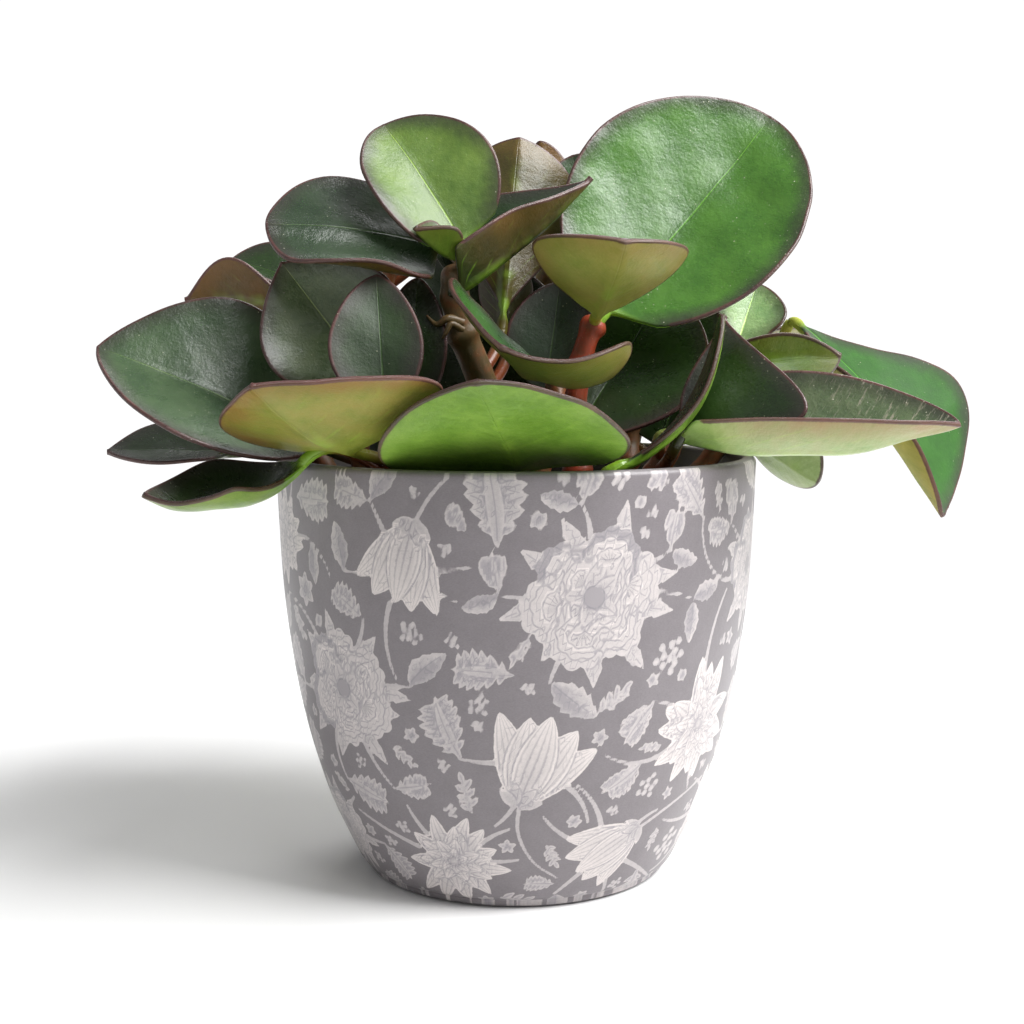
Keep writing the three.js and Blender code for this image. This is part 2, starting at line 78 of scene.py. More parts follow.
# Leaves: name (its first letter is its stem), base and tip of the blade in mm, the way its upper face looks, width in
# mm, shape, colour of the upper face, colour of the underside, and blush, the share of warm tint on the underside.
# Shape: fold and cup are angles in degrees of the half blades (l left, r right as seen on the upper face with the tip
# up), arch and side bow the midrib in mm upwards and sideways, peak is where the blade is widest, bexp and texp blunt
# the base and the tip, wl and wr widen the halves, and root is where the stalk leaves its stem, as a share of the
# stem's length. dust is the share of mineral specks, 0.5 if it isn't given, with scars above 0.85, and matt is extra
# roughness.
LEAVES = [
    ["a1", [-14.5, -23, 180.5], [-37.5, -12, 215], [0.25, -0.88, 0.36], 38,
     dict(matt=0.12, fold=14, cup=14, arch=2, peak=0.48, bexp=0.48, texp=0.55, wr=1.12, wl=1), "fresh", "lime", 0.1],
    ["a2", [-4, -4, 160], [1, 14, 215], [0.05, 0.95, 0.3], 44,
     dict(fold=14, cup=20, arch=-2, peak=0.68), "green", "brown", 0.2],
    ["a3", [-16.5, -25.5, 169], [21, -14, 200.5], [-0.6, -0.1, 0.75], 46,
     dict(foldr=36, foldl=42, cupr=30, cupl=20, arch=-1.5, peak=0.2, bexp=0.2, texp=1, wr=0.64, wl=1.15, root=0.75),
     "bluish", "dark", 0.5],
    ["a4", [-14.5, -27, 178], [-27, -37, 185], [0.4, 0.02, 0.9], 17,
     dict(fold=35, cup=20, arch=-1, texp=0.8, root=0.88), "fresh", "lime", 0.4],
    ["a5", [-21, -20, 180.5], [-67.5, -34, 185.5], [0.05, -0.6, 0.8], 47,
     dict(foldl=-30, foldr=2, cupl=80, cupr=8, arch=2, peak=0.5, bexp=0.4, wr=1.02, wl=1.12), "bluish", "brown", 0.4],
    ["a6", [-2.5, 4, 157.5], [-4, 3, 181], [0, 0.9, 0.4], 18,
     dict(), "deep", "dark", 0.2],
    ["b1", [25.5, -10, 163], [77, 20, 222], [-0.1, -0.93, 0.35], 73,
     dict(dust=0.8, fold=5, cup=30, arch=-3, peak=0.48, bexp=0.44, texp=0.5, wl=1.04, wr=0.96), "leafy", "lime", 0.4],
    ["b2", [22.5, -18, 162], [28.5, -46, 181], [-0.05, 0.55, 0.8], 48,
     dict(fold=12, cup=24, arch=-2, peak=0.6, root=0.93), "fresh", "glow", 0.6],
    ["b3", [8.5, -2, 138], [13, 2, 172], [-0.2, -0.9, 0.3], 28,
     dict(fold=8), "bluish", "dark", 0.1],
    ["b4", [16, -12, 126.5], [44, 12, 169], [-0.2, -0.9, 0.35], 42,
     dict(fold=6, cup=12, wl=0.75, wr=1.3, texp=0.45), "deep", "dark", 0.2],
    ["c1", [-54.5, -22, 125.5], [-114.5, -31, 153], [-0.18, -0.8, 0.55], 58,
     dict(dust=0.8, foldr=0, foldl=34, cup=10, arch=3, peak=0.5, texp=0.75, bexp=0.7), "grey", "dark", 0.2],
    ["c2", [-38.5, -30, 141.5], [-64, -30, 176], [-0.1, -0.88, 0.42], 42,
     dict(fold=10, cup=14, arch=2, peak=0.48, texp=0.85, wr=1), "sage", "dark", 0.2],
    ["c3", [-66, 4, 166.5], [-98.5, 8, 167.5], [0.05, 0.82, 0.5], 24,
     dict(fold=10, cup=15, arch=2, bexp=1, texp=1.2, peak=0.57), "deep", "brown", 0.6],
    ["d1", [2, -44, 120.5], [-9.5, -88, 145], [0.05, 0.45, 0.88], 64,
     dict(foldl=4, cupl=-14, foldr=-4, cupr=-8, wr=1.03, arch=-1, peak=0.42, bexp=0.42, texp=0.6),
     "green", "lime", 0.05],
    ["d2", [10, -24, 146], [-3.5, -67, 153], [0.36, 0.15, 0.92], 54,
     dict(foldr=20, cupr=20, foldl=-10, cupl=70, wr=1.2, wl=1.2, arch=-3, peak=0.56, bexp=0.5, texp=0.6),
     "green", "olive", 0.4],
    ["e1", [27, -48, 122], [54.5, -41, 162], [-0.88, -0.2, 0.3], 40,
     dict(foldr=15, foldl=8, cupr=10, cupl=10, arch=-8, peak=0.58, wr=0.5, wl=0.25), "deep", "lime", 0.1],
    ["e2", [44, -40, 130], [57, -30, 161.5], [-0.35, -0.8, 0.4], 50,
     dict(foldr=2, foldl=20, cup=4, peak=0.38, bexp=1.4, texp=1.3, wl=0.15, wr=1.28), "deep", "dark", 0.4],
    ["e3", [67.5, 20, 153.5], [75, 30, 173], [0.1, -0.85, 0.5], 25,
     dict(), "light", "pale", 0.1],
    ["e4", [60.5, -12, 150.5], [89.5, -27, 151], [0.1, 0.75, 0.65], 25,
     dict(fold=8, cup=12, texp=0.7, bexp=0.5, peak=0.5, wl=1.2, wr=0.6), "green", "lime", 0.4],
    ["e5", [43, -38, 129.5], [115, -54, 133.5], [0.02, -0.3, 0.95], 44,
     dict(dust=1, foldr=38, cupr=40, foldl=24, cupl=38, arch=-6, peak=0.42, bexp=0.3, texp=0.6, wr=0.74, wl=1.12),
     "sage", "pale", 0.8],
    ["f1", [81, 28, 135], [93, 32, 147.5], [0.3, -0.8, 0.4], 26,
     dict(), "green", "olive", 0.6],
    ["f2", [84.5, 12, 160.5], [125, -8, 106.5], [0.45, -0.62, 0.6], 56,
     dict(matt=0.6, foldr=0, cupr=90, foldl=4, cupl=14, arch=8, side=6,
          peak=0.64, bexp=0.8, texp=0.45, wl=1.15, wr=0.85),
     "green", "olive", 0.4],
    ["f3", [66, -4, 129], [87, -14, 115], [0.2, 0.75, 0.6], 26,
     dict(), "green", "pale", 0.1],
    ["g1", [14, 38, 190], [7.5, 42, 218], [0.1, 0.8, 0.5], 16,
     dict(), "green", "brown", 0.8],
    ["g2", [26, 24, 183], [17.5, 34, 212.5], [-0.3, -0.7, 0.6], 30,
     dict(), "green", "olive", 0.4],
    ["g3", [2, 50, 165], [2, 84, 200], [0, 0.85, 0.5], 52,
     dict(fold=7, cup=18, arch=3, bexp=0.55, texp=0.5), "green", "dark", 0.2],
    ["g4", [24, 50, 186], [42, 72, 216], [0.3, 0.8, 0.5], 44,
     dict(fold=9, cup=14, arch=2, bexp=0.6, root=0.9), "green", "lime", 0.3],
    ["g5", [0, 27, 128], [-22, 16, 181], [-0.1, -0.95, 0.3], 54,
     dict(fold=8, cup=10, arch=1), "deep", "dark", 0.2],
    ["g6", [-4, 44, 148], [-28, 66, 162], [-0.3, 0.4, 0.85], 36,
     dict(fold=10, cup=16, arch=3), "green", "olive", 0.2],
    ["h1", [-37.5, 30, 187], [-50.5, 42, 204], [-0.3, -0.6, 0.7], 20,
     dict(), "deep", "brown", 0.4],
    ["h2", [-61.5, 32, 169], [-90.5, 38, 180], [-0.1, -0.5, 0.85], 24,
     dict(arch=2), "deep", "brown", 0.4],
    ["h3", [-50, 34, 152], [-96, 62, 164], [0.15, 0.1, 1], 48,
     dict(fold=10, cup=18, arch=4), "bluish", "olive", 0.3],
    ["h4", [-46, 46, 164], [-58, 84, 192], [-0.35, 0.75, 0.5], 46,
     dict(fold=8, cup=16, arch=3, bexp=0.6), "green", "olive", 0.3],
    ["h5", [-28, 38, 186], [-25, 62, 216], [-0.1, 0.85, 0.5], 42,
     dict(fold=10, cup=16, arch=2, bexp=0.6, root=0.85), "fresh", "lime", 0.3],
    ["h6", [-44, 38, 136], [-74, 68, 138], [-0.2, 0.2, 1], 36,
     dict(fold=10, cup=18, arch=4), "deep", "olive", 0.2],
    ["h7", [-38, 30, 117], [-46, 31, 134], [0.1, -0.95, 0.3], 30,
     dict(fold=8, cup=12, root=0.15), "deep", "dark", 0.2],
    ["j1", [-34, -54, 136], [-37, -42, 172], [0.05, -0.95, 0.25], 27,
     dict(matt=0.3, fold=10, cup=12, arch=1, peak=0.44, texp=0.6, wr=0.85, wl=1.05), "deep", "olive", 0.3],
    ["j2", [-30.5, -28, 130.5], [-27.5, -18, 172.5], [0.1, -0.95, 0.25], 20,
     dict(fold=10, cup=12, arch=1, peak=0.5, texp=0.6), "deep", "dark", 0.2],
    ["j3", [-43.5, -47, 126], [-63.5, -84, 144], [0.15, 0.5, 0.85], 62,
     dict(foldr=0, cupr=6, foldl=12, cupl=4, arch=-2, peak=0.44, bexp=0.6, texp=0.85, wr=0.8, wl=1.22),
     "deep", "olive", 0.9],
    ["j4", [-56, -46, 123.5], [-96, -59, 115.5], [-0.1, -0.45, 0.85], 42,
     dict(foldr=0, cupr=40, foldl=20, cupl=40, arch=-8.5, texp=0.75, wr=0.82, wl=1.05, root=0.4), "deep", "lime", 0.2],
    ["k1", [-81.5, -8, 123], [-117, -14, 123.5], [0, -0.4, 0.9], 26,
     dict(fold=8, cup=16, arch=0, texp=0.8), "deep", "dark", 0.2],
    ["k2", [-62, 24, 126], [-106, 52, 120], [-0.1, 0.2, 1], 50,
     dict(fold=12, cup=18, arch=5), "bluish", "olive", 0.3],
    ["m1", [44, 50, 165], [62, 84, 188], [0.4, 0.7, 0.55], 48,
     dict(fold=8, cup=16, arch=3, bexp=0.6), "green", "olive", 0.3],
    ["m2", [52, 44, 147], [98, 68, 146], [0.2, 0.1, 1], 52,
     dict(fold=10, cup=20, arch=5), "green", "olive", 0.3],
    ["m3", [52, 48, 128], [90, 80, 114], [0.3, 0.3, 0.9], 46,
     dict(fold=8, cup=22, arch=7), "deep", "olive", 0.3],
    ["m4", [36, 48, 146], [27, 78, 160], [0, 0.4, 0.9], 36,
     dict(fold=10, cup=18, arch=3), "deep", "olive", 0.3],
    ["m5", [46, 36, 121], [60, 42, 168], [-0.15, -0.95, 0.3], 44,
     dict(fold=8, cup=12, bexp=0.4, wr=0.7, root=0.25), "deep", "dark", 0.2],
    ["n1", [-22, 60, 134], [-40, 104, 138], [-0.1, 0.15, 1], 50,
     dict(fold=10, cup=16, arch=5), "green", "olive", 0.4],
    ["n2", [20, 60, 136], [32, 108, 134], [0.1, 0.2, 1], 50,
     dict(fold=8, cup=20, arch=5), "deep", "olive", 0.3],
    ["n3", [-2, 64, 124], [-4, 104, 108], [0, 0.6, 0.8], 44,
     dict(fold=6, cup=26, arch=6), "green", "olive", 0.3],
]

# Leaf colours, as 0 to 255 screen values.
UPPER_COLOURS = {
    "bluish": (40, 58, 38),
    "deep": (30, 52, 18),
    "green": (42, 90, 26),
    "leafy": (64, 108, 34),
    "fresh": (88, 116, 46),
    # grey (c1) and sage (c2, e5) are lighter, greyer greens: partly the leaves' own colour, partly painted sheen on c1
    # and e5, and painted light on c2, which lies in shade under a5.
    "grey": (66, 88, 60),
    "sage": (94, 110, 80),
    "light": (148, 178, 126),
}
UNDER_COLOURS = {
    "lime": (108, 146, 50),
    "olive": (138, 146, 64),
    "brown": (74, 68, 22),
    "dark": (44, 54, 20),
    "pale": (146, 168, 108),
    "glow": (164, 166, 82),
}

# Dry scraps where a leaf came off stem a: as the stems, from where they leave it to their loose end.
SCRAPS = [
    ([[-15, -22.5, 160], [-19, -24.5, 161], [-22, -24, 159.5], [-25, -23, 162]], 1.6, 0.3, 0.1),
    ([[-15, -23, 158], [-18, -25, 159.5], [-19.5, -25.5, 157], [-20.5, -25, 155.5]], 1.2, 0.3, 0.1),
]

# Outer radii of the planter's wall in mm at fractions of its height.
WALL_RADII = [
    (0.03, 46.6), (0.07, 49.2), (0.12, 52.1), (0.18, 55.3), (0.25, 58.2),
    (0.35, 61.7), (0.45, 64.4), (0.57, 66.7), (0.7, 68.4), (0.85, 69.4),
]

# Flowers of the planter's print in one half of its wall: degrees round it, mm along it from the foot, radius in mm,
# turn in degrees, kind.
PRINT_FLOWERS = [
    (16, 90, 19, 20, "blossom"),
    (-44, 62, 18.5, 75, "blossom"),
    (50, 52, 17, 0, "dahlia"),
    (-24, 99, 12.5, 160, "tulip"),
    (2, 46, 13.5, -35, "tulip"),
    (-17, 16, 13, 40, "dahlia"),
    (-66, 103, 13, 10, "dahlia"),
    (26, 17, 11.5, 130, "tulip"),
    (-62, 19, 13, 30, "blossom"),
    (72, 96, 15, 60, "blossom"),
    (76, 20, 13, -40, "tulip"),
]

# Motifs that fill the print's gaps, from large to small: radius in mm, kinds.
PRINT_FILLERS = [
    (11.0, ("dahlia", "frond")),
    (9.0, ("frond", "tulip")),
    (7.0, ("frond", "dahlia", "sprig", "berries")),
    (4.6, ("frond", "sprig", "star", "berries")),
    (2.6, ("star", "berries")),
]
FILLER_TRIES = 4000  # places tried for each size of filler
PRINT_SEED = 7

# Soft boxes: name, place in m, width and height in m.
LIGHTS = [
    ("side", (1.0, -0.3, 1.25), (1.1, 1.1)),
    ("front", (0.45, -0.72, 1.15), (0.5, 0.4)),
    ("back", (0.25, 0.95, 0.85), (0.9, 0.6)),
]
LIGHTS_AIM = 0.11  # height in m of the point that they face
FLOOR_SIZE, FLOOR_DROP = 8.0, 0.0001  # m
BACKGROUND = 1.05  # brightness of the white behind the object and of the floor far from it


# ---------------------------------------------------------------- settings


def length(name, text, default, high=1.0):
    """A length setting in metres."""
    return bpy.props.FloatProperty(
        name=name, description=text, default=default, min=0.0, max=high, precision=4, unit="LENGTH"
    )


def share(name, text, default, high):
    """A setting from 0 to high."""
    return bpy.props.FloatProperty(name=name, description=text, default=default, min=0.0, max=high)


def screen(*rgb):
    """Scene-linear colour of 0 to 255 screen values: ((c + 0.055) / 1.055) ^ 2.4, or c / 12.92 in the darks."""
    c = [v / 255 for v in rgb]
    return tuple(((v + 0.055) / 1.055) ** 2.4 if v > 0.04045 else v / 12.92 for v in c)


def colour(name, text, default):
    """A colour setting, with its default given as 0 to 255 screen values."""
    return bpy.props.FloatVectorProperty(
        name=name, description=text, default=screen(*default), subtype="COLOR", size=3, min=0.0, max=1.0
    )


class PeperomiaLeafSettings(bpy.types.PropertyGroup):
    """Sizes and colours of the leaves and their stalks."""

    edge: length("Edge Thickness", "Thickness of a blade at its margin", 0.0012)
    rib: length("Midrib Height", "How far the midrib stands out of the underside", 0.0014)
    stalk: length("Stalk Radius", "Radius of a leaf stalk", 0.0017)
    rim: length("Rim Width", "Width of the coloured margin", 0.0008)
    rim_colour: colour("Rim Colour", "Colour of the margin", (98, 60, 56))
    blush_colour: colour("Blush", "Warm tint of young undersides", (134, 88, 44))
    stalk_foot_colour: colour("Stalk Foot", "Colour of a stalk next to its stem", (112, 56, 28))
    vein_colour: colour("Vein Colour", "Pale colour of the midrib", (150, 188, 66))
    dust_colour: colour("Dust Colour", "Colour of the mineral specks", (206, 204, 180))


class PeperomiaStemSettings(bpy.types.PropertyGroup):
    """Sizes and colours of the stems."""

    node_swell: length("Node Swell", "How far a stem swells where a leaf stalk leaves it", 0.0006)
    green_colour: colour("Stem Colour", "Colour of a green stem", (104, 84, 50))
    red_colour: colour("Red Stem Colour", "Colour of a red stem", (148, 50, 14))


class PeperomiaPlanterSettings(bpy.types.PropertyGroup):
    """Sizes and colours of the planter and the nursery pot in it."""

    height: length("Height", "Height of the planter", PLANTER_BOX[1].z)
    rim_radius: length("Rim Radius", "Outer radius at the rim", PLANTER_BOX[1].x)
    foot_radius: length("Foot Radius", "Outer radius at the foot", 0.045)
    wall: length("Wall", "Thickness of the wall", 0.0044)
    floor: length("Floor", "Thickness of the floor", 0.007)
    ground_colour: colour("Ground", "Glaze between the flowers", (130, 125, 128))
    cream_colour: colour("Cream", "Light print colour", (210, 202, 199))
    shade_colour: colour("Shade", "Grey print colour between cream and ground", (148, 143, 146))
    line_colour: colour("Line", "Outline print colour", (122, 119, 127))
    nursery_colour: colour("Nursery Pot", "Colour of the plastic pot", (20, 20, 21))


class PeperomiaSoilSettings(bpy.types.PropertyGroup):
    """Sizes and colours of the potting soil."""

    top: length("Soil Top", "Height of the soil", 0.111)
    radius: length("Soil Radius", "Radius of the soil's top", 0.0608)
    crumbs: bpy.props.IntProperty(
        name="Crumbs", description="How many loose crumbs lie on the soil", default=620, min=0, max=3000
    )
    bits: bpy.props.IntProperty(
        name="Mineral Bits", description="How many light mineral bits lie on the soil", default=90, min=0, max=3000
    )
    soil_colour: colour("Soil Colour", "Colour of the potting soil", (52, 38, 28))
    grit_colour: colour("Grit Colour", "Colour of the light mineral bits", (196, 190, 176))


class PeperomiaStageSettings(bpy.types.PropertyGroup):
    """Camera, floor and lights."""

    camera_distance: length("Camera Distance", "Distance of the camera in front of the planter's axis", 0.45, 5.0)
    camera_height: length("Camera Height", "Height of the camera above the floor", 0.152, 5.0)
    camera_aside: bpy.props.FloatProperty(
        name="Camera Aside", description="How far the camera stands to the right", default=-0.0012, unit="LENGTH"
    )
    camera_pitch: bpy.props.FloatProperty(
        name="Camera Pitch", description="How far the camera looks down", default=math.radians(6), subtype="ANGLE"
    )
    lens: bpy.props.FloatProperty(
        name="Lens", description="Focal length on a 36 mm sensor", default=53.7, unit="CAMERA"
    )
    floor_colour: colour("Floor Colour", "Colour of the floor", (250, 250, 250))
    ambient: share("Ambient", "Strength of the white surroundings", 0.27, 3.0)
    mirrored: share("Mirrored", "How much brighter the surroundings look in a gloss", 0.2, 3.0)
    side_light: share("Side Light", "Power of the soft box on the right", 50.0, 200.0)
    front_light: share("Front Light", "Power of the soft box in front", 3.0, 200.0)
    back_light: share("Back Light", "Power of the soft box behind", 6.0, 200.0)


# ---------------------------------------------------------------- shader wiring


class Field:
    """A value or vector that changes over a surface: a node's output socket that can be used in formulas."""

    def __init__(self, tree, socket):
        self.tree, self.socket = tree, socket

    def _math(self, operation, *others):
        return put(self.tree, "Math", 0, {"operation": operation}, self, *others)

    def __add__(self, other):
        return self._math("ADD", other)

    def __sub__(self, other):
        return self._math("SUBTRACT", other)

    def __mul__(self, other):
        return self._math("MULTIPLY", other)

    def __rsub__(self, other):
        return self * -1.0 + other

    __radd__ = __add__

    def power(self, other):
        return self._math("POWER", other)

    def least(self, other):
        return self._math("MINIMUM", other)

    def most(self, other):
        return self._math("MAXIMUM", other)

    def size(self):
        return self._math("ABSOLUTE")

    def rest(self, step):
        """Remainder after division by step, never negative."""
        return self._math("FLOORED_MODULO", step)

    def ramp(self, low, high):
        """0 below low, 1 above high, straight between; low above high turns it round."""
        return put(self.tree, "MapRange", Value=self, From_Min=low, From_Max=high)

    def soft(self, low, high):
        """As ramp, but smooth at both ends."""
        made = self.ramp(low, high)
        made.socket.node.interpolation_type = "SMOOTHSTEP"
        return made

    def parts(self):
        """The three parts of a vector."""
        node = put(self.tree, "SeparateXYZ", 0, {}, self).socket.node
        return [Field(self.tree, s) for s in node.outputs]


def plug(tree, value, entry):
    """Joins a Field or socket to an input, or sets the input's own value."""
    if isinstance(value, Field):
        value = value.socket
    if isinstance(value, bpy.types.NodeSocket):
        tree.links.new(value, entry)
    elif hasattr(entry.default_value, "__len__") and (len(value), len(entry.default_value)) == (3, 4):
        entry.default_value = (*value, 1.0)
    else:
        entry.default_value = value


def put(tree, kind, out=0, settings=None, *first, **named):
    """Adds a node, sets its settings, its first inputs and its named ones, and returns one output as a Field. An
    underscore in an input's name is a space."""
    node = tree.nodes.new("ShaderNode" + kind)
    for name, value in (settings or {}).items():
        setattr(node, name, value)
    for value, entry in zip(first, node.inputs):
        plug(tree, value, entry)
    for name, value in named.items():
        plug(tree, value, node.inputs[name.replace("_", " ")])
    return Field(tree, node.outputs[out])


def mixed(tree, mask, first, second, way="MIX"):
    """Colour mix: first where mask is 0, second where it is 1."""
    node = tree.nodes.new("ShaderNodeMix")
    node.data_type, node.blend_type = "RGBA", way
    for value, entry in ((mask, 0), (first, 6), (second, 7)):
        plug(tree, value, node.inputs[entry])
    return Field(tree, node.outputs[2])


def tinted(tree, colour_at, tint):
    """A colour multiplied by another."""
    return mixed(tree, 1.0, colour_at, tint, "MULTIPLY")


def carried(tree, name, out="Vector"):
    """A piece's own attribute."""
    return put(tree, "Attribute", out, {"attribute_name": name})


def place_mm(tree):
    """Place in the object, in mm."""
    at = put(tree, "TexCoord", "Object")
    return put(tree, "VectorMath", settings={"operation": "SCALE"}, Vector=at, Scale=1 / MM)


def noise(tree, at, scale, detail=2.0, rough=0.5):
    """Noise from 0 to 1, with a mean of 0.5."""
    return put(tree, "TexNoise", Vector=at, Scale=scale, Detail=detail, Roughness=rough)


def grained(tree, at, scale, detail=2.0, rough=0.5):
    """Noise from -0.5 to 0.5."""
    return noise(tree, at, scale, detail, rough) - 0.5


def group(name, inputs, outputs):
    """A new shader node group. Returns its tree, its inputs as Fields and a function that sets an output."""
    tree = bpy.data.node_groups.new(name, "ShaderNodeTree")
    for way, sockets in (("INPUT", inputs), ("OUTPUT", outputs)):
        for text, kind in sockets:
            tree.interface.new_socket(text, in_out=way, socket_type="NodeSocket" + kind)
    entry, leave = tree.nodes.new("NodeGroupInput"), tree.nodes.new("NodeGroupOutput")
    fields = [Field(tree, s) for s in entry.outputs[: len(inputs)]]
    return tree, fields, lambda text, value: plug(tree, value, leave.inputs[text])


def use(tree, name, make, **entries):
    """Places a node group, which is made at its first use, and returns its outputs by name."""
    node = tree.nodes.new("ShaderNodeGroup")
    node.node_tree = bpy.data.node_groups.get(name) or make(name)
    for text, value in entries.items():
        plug(tree, value, node.inputs[text])
    return {s.name: Field(tree, s) for s in node.outputs}


def mottled(tree, at, scale):
    """Clouds from about -1 to 1."""
    return use(tree, "mottle", make_mottle, Place=at, Scale=scale)["Value"]


def specked(tree, at, scale, amount):
    """Mask of small specks, more of them with a larger amount."""
    return use(tree, "specks", make_specks, Place=at, Scale=scale, Amount=amount)["Mask"]


def new_finish(name):
    """An empty material with its Principled shader. Returns material, tree and shader."""
    material = bpy.data.materials.new(name)
    material.use_nodes = True
    return material, material.node_tree, material.node_tree.nodes["Principled BSDF"]


def fixed(shader, **values):
    """Sets inputs that are the same all over the surface. An underscore in a name is a space."""
    for name, value in values.items():
        shader.inputs[name.replace("_", " ")].default_value = value


def surfaced(tree, shader, base, rough, height, strength, depth):
    """Gives a shader its colour, its roughness and a relief of height times depth in metres."""
    plug(tree, base, shader.inputs["Base Color"])
    plug(tree, rough, shader.inputs["Roughness"])
    relief = put(tree, "Bump", Strength=strength, Distance=depth, Height=height)
    plug(tree, relief, shader.inputs["Normal"])


# ---------------------------------------------------------------- shared effects


def make_specks(name):
    """Small pale specks: points of a cell pattern nearer than a radius, kept in a share of the cells."""
    inputs = [("Place", "Vector"), ("Scale", "Float"), ("Amount", "Float")]
    tree, (at, scale, amount), leave = group(name, inputs, [("Mask", "Float")])
    distance = put(tree, "TexVoronoi", "Distance", Vector=at, Scale=scale)
    chance, size, _ = Field(tree, distance.socket.node.outputs["Color"]).parts()
    kept = chance.ramp(1.0 - amount, 1.02 - amount)
    leave("Mask", kept * distance.ramp(0.06 + size * 0.16, 0.02 + size * 0.1))
    return tree


def make_mottle(name):
    """Slow and quick noise added together, from about -1 to 1."""
    tree, (at, scale), leave = group(name, [("Place", "Vector"), ("Scale", "Float")], [("Value", "Float")])
    slow = grained(tree, at, scale, 3.0, 0.55)
    quick = grained(tree, at, scale * 5.3)
    leave("Value", slow * 2.4 + quick * 0.8)
    return tree


# ---------------------------------------------------------------- mesh making

FAR = 9.0  # distance in mm to a margin, an edge or a vein where there is none


def unit(v):
    return v / np.linalg.norm(v, axis=-1, keepdims=True)


def smoothstep(t):
    t = np.clip(t, 0, 1)
    return t * t * (3 - 2 * t)


def smooth_path(points, steps):
    """Centripetal Catmull-Rom curve through points: cubic between neighbours, with knots spaced by the root of their
    distance."""
    p = np.array(points, float)
    p = np.vstack([2 * p[0] - p[1], p, 2 * p[-1] - p[-2]])
    t = np.linspace(0, len(points) - 1, steps + 1)
    i = np.minimum(t.astype(int), len(points) - 2)
    w = (t - i)[:, None]
    a, b, c, d = p[i], p[i + 1], p[i + 2], p[i + 3]
    k0, k1, k2 = (np.linalg.norm(v - u, axis=1)[:, None] ** 0.5 for u, v in ((a, b), (b, c), (c, d)))
    start = ((b - a) / k0 - (c - a) / (k0 + k1) + (c - b) / k1) * k1
    end = ((c - b) / k1 - (d - b) / (k1 + k2) + (d - c) / k2) * k1
    return b + start * w + (3 * (c - b) - 2 * start - end) * w**2 + (2 * (b - c) + start + end) * w**3


def fan_faces(ring, hub, turned):
    """Triangles from a ring of vertex numbers to one hub vertex."""
    ring = list(ring)
    pairs = zip(ring, ring[1:] + ring[:1])
    return [[b, a, hub] if turned else [a, b, hub] for a, b in pairs]


def closed_faces(rows, columns):
    """Quads of a grid that closes on itself across its columns, and fans from its first and its last row to the two
    vertices that follow the grid's."""
    i, j = np.meshgrid(np.arange(rows - 1), np.arange(columns), indexing="ij")
    a, b = i * columns + j, i * columns + (j + 1) % columns
    faces = np.stack([a, b, b + columns, a + columns], -1).reshape(-1, 4).tolist()
    n = rows * columns
    return faces + fan_faces(range(columns), n, True) + fan_faces(range(n - columns, n), n + 1, False)


class Bundle:
    """Surfaces gathered for one mesh, with attributes carried by their vertices."""

    def __init__(self):
        self.points, self.faces, self.carried, self.count = [], [], {}, 0

    def add(self, points, faces, carried_values=None):
        """Adds a surface. An attribute is given for each vertex, or once for all of them."""
        self.faces += [[v + self.count for v in face] for face in faces]
        self.points.append(points)
        for name, values in (carried_values or {}).items():
            values = np.asarray(values, float)
            if values.ndim == 1:
                values = np.tile(values, (len(points), 1))
            self.carried.setdefault(name, []).append(values)
        self.count += len(points)

    def piece(self, name, finish, slot, nodes):
        """Makes the object: smooth shaded, at the origin, riding the root body, in place of the CAD nodes."""
        mesh = bpy.data.meshes.new(name)
        mesh.from_pydata((np.vstack(self.points) * MM).tolist(), [], self.faces)
        mesh.validate()
        mesh.shade_smooth()
        for text, values in self.carried.items():
            values = np.vstack(values).astype(np.float32)
            kind, entry = ("FLOAT_COLOR", "color") if values.shape[1] == 4 else ("FLOAT_VECTOR", "vector")
            mesh.attributes.new(text, kind, "POINT").data.foreach_set(entry, values.ravel())
        mesh.materials.append(finish)
        made = bpy.data.objects.new(name, mesh)
        bpy.context.scene.collection.objects.link(made)
        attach(made, BODY)
        if nodes:
            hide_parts(*nodes)
        return made


# ---------------------------------------------------------------- leaves

# How leaves are made, in mm where nothing else is said.
LARGE_LEAF = 1700  # length times width above which a leaf has more rows and columns
BLADE_ROWS, BLADE_COLUMNS = (36, 52), (17, 25)  # of small and of large leaves
STALK_ROWS = 12
MARGIN_STEPS = 4  # columns of the margin's half round on either face
STALK_AIM = 10  # how far behind the blade's base the stalk looks for its stem
STALK_BEND = 0.4  # share of the stalk's length that runs straight into the blade
BLEND = 4  # how far from its base the blade takes over from the stalk's round section
SIDE_VEINS = 6
VEIN_SLANT, VEIN_CURVE = 0.42, 1.3  # side veins run where s - slant |q|^curve is the same
LEAST_HALF = 0.6  # half width that a blade keeps at both ends
CREASE = 0.8  # how far from the midrib the fold is rounded


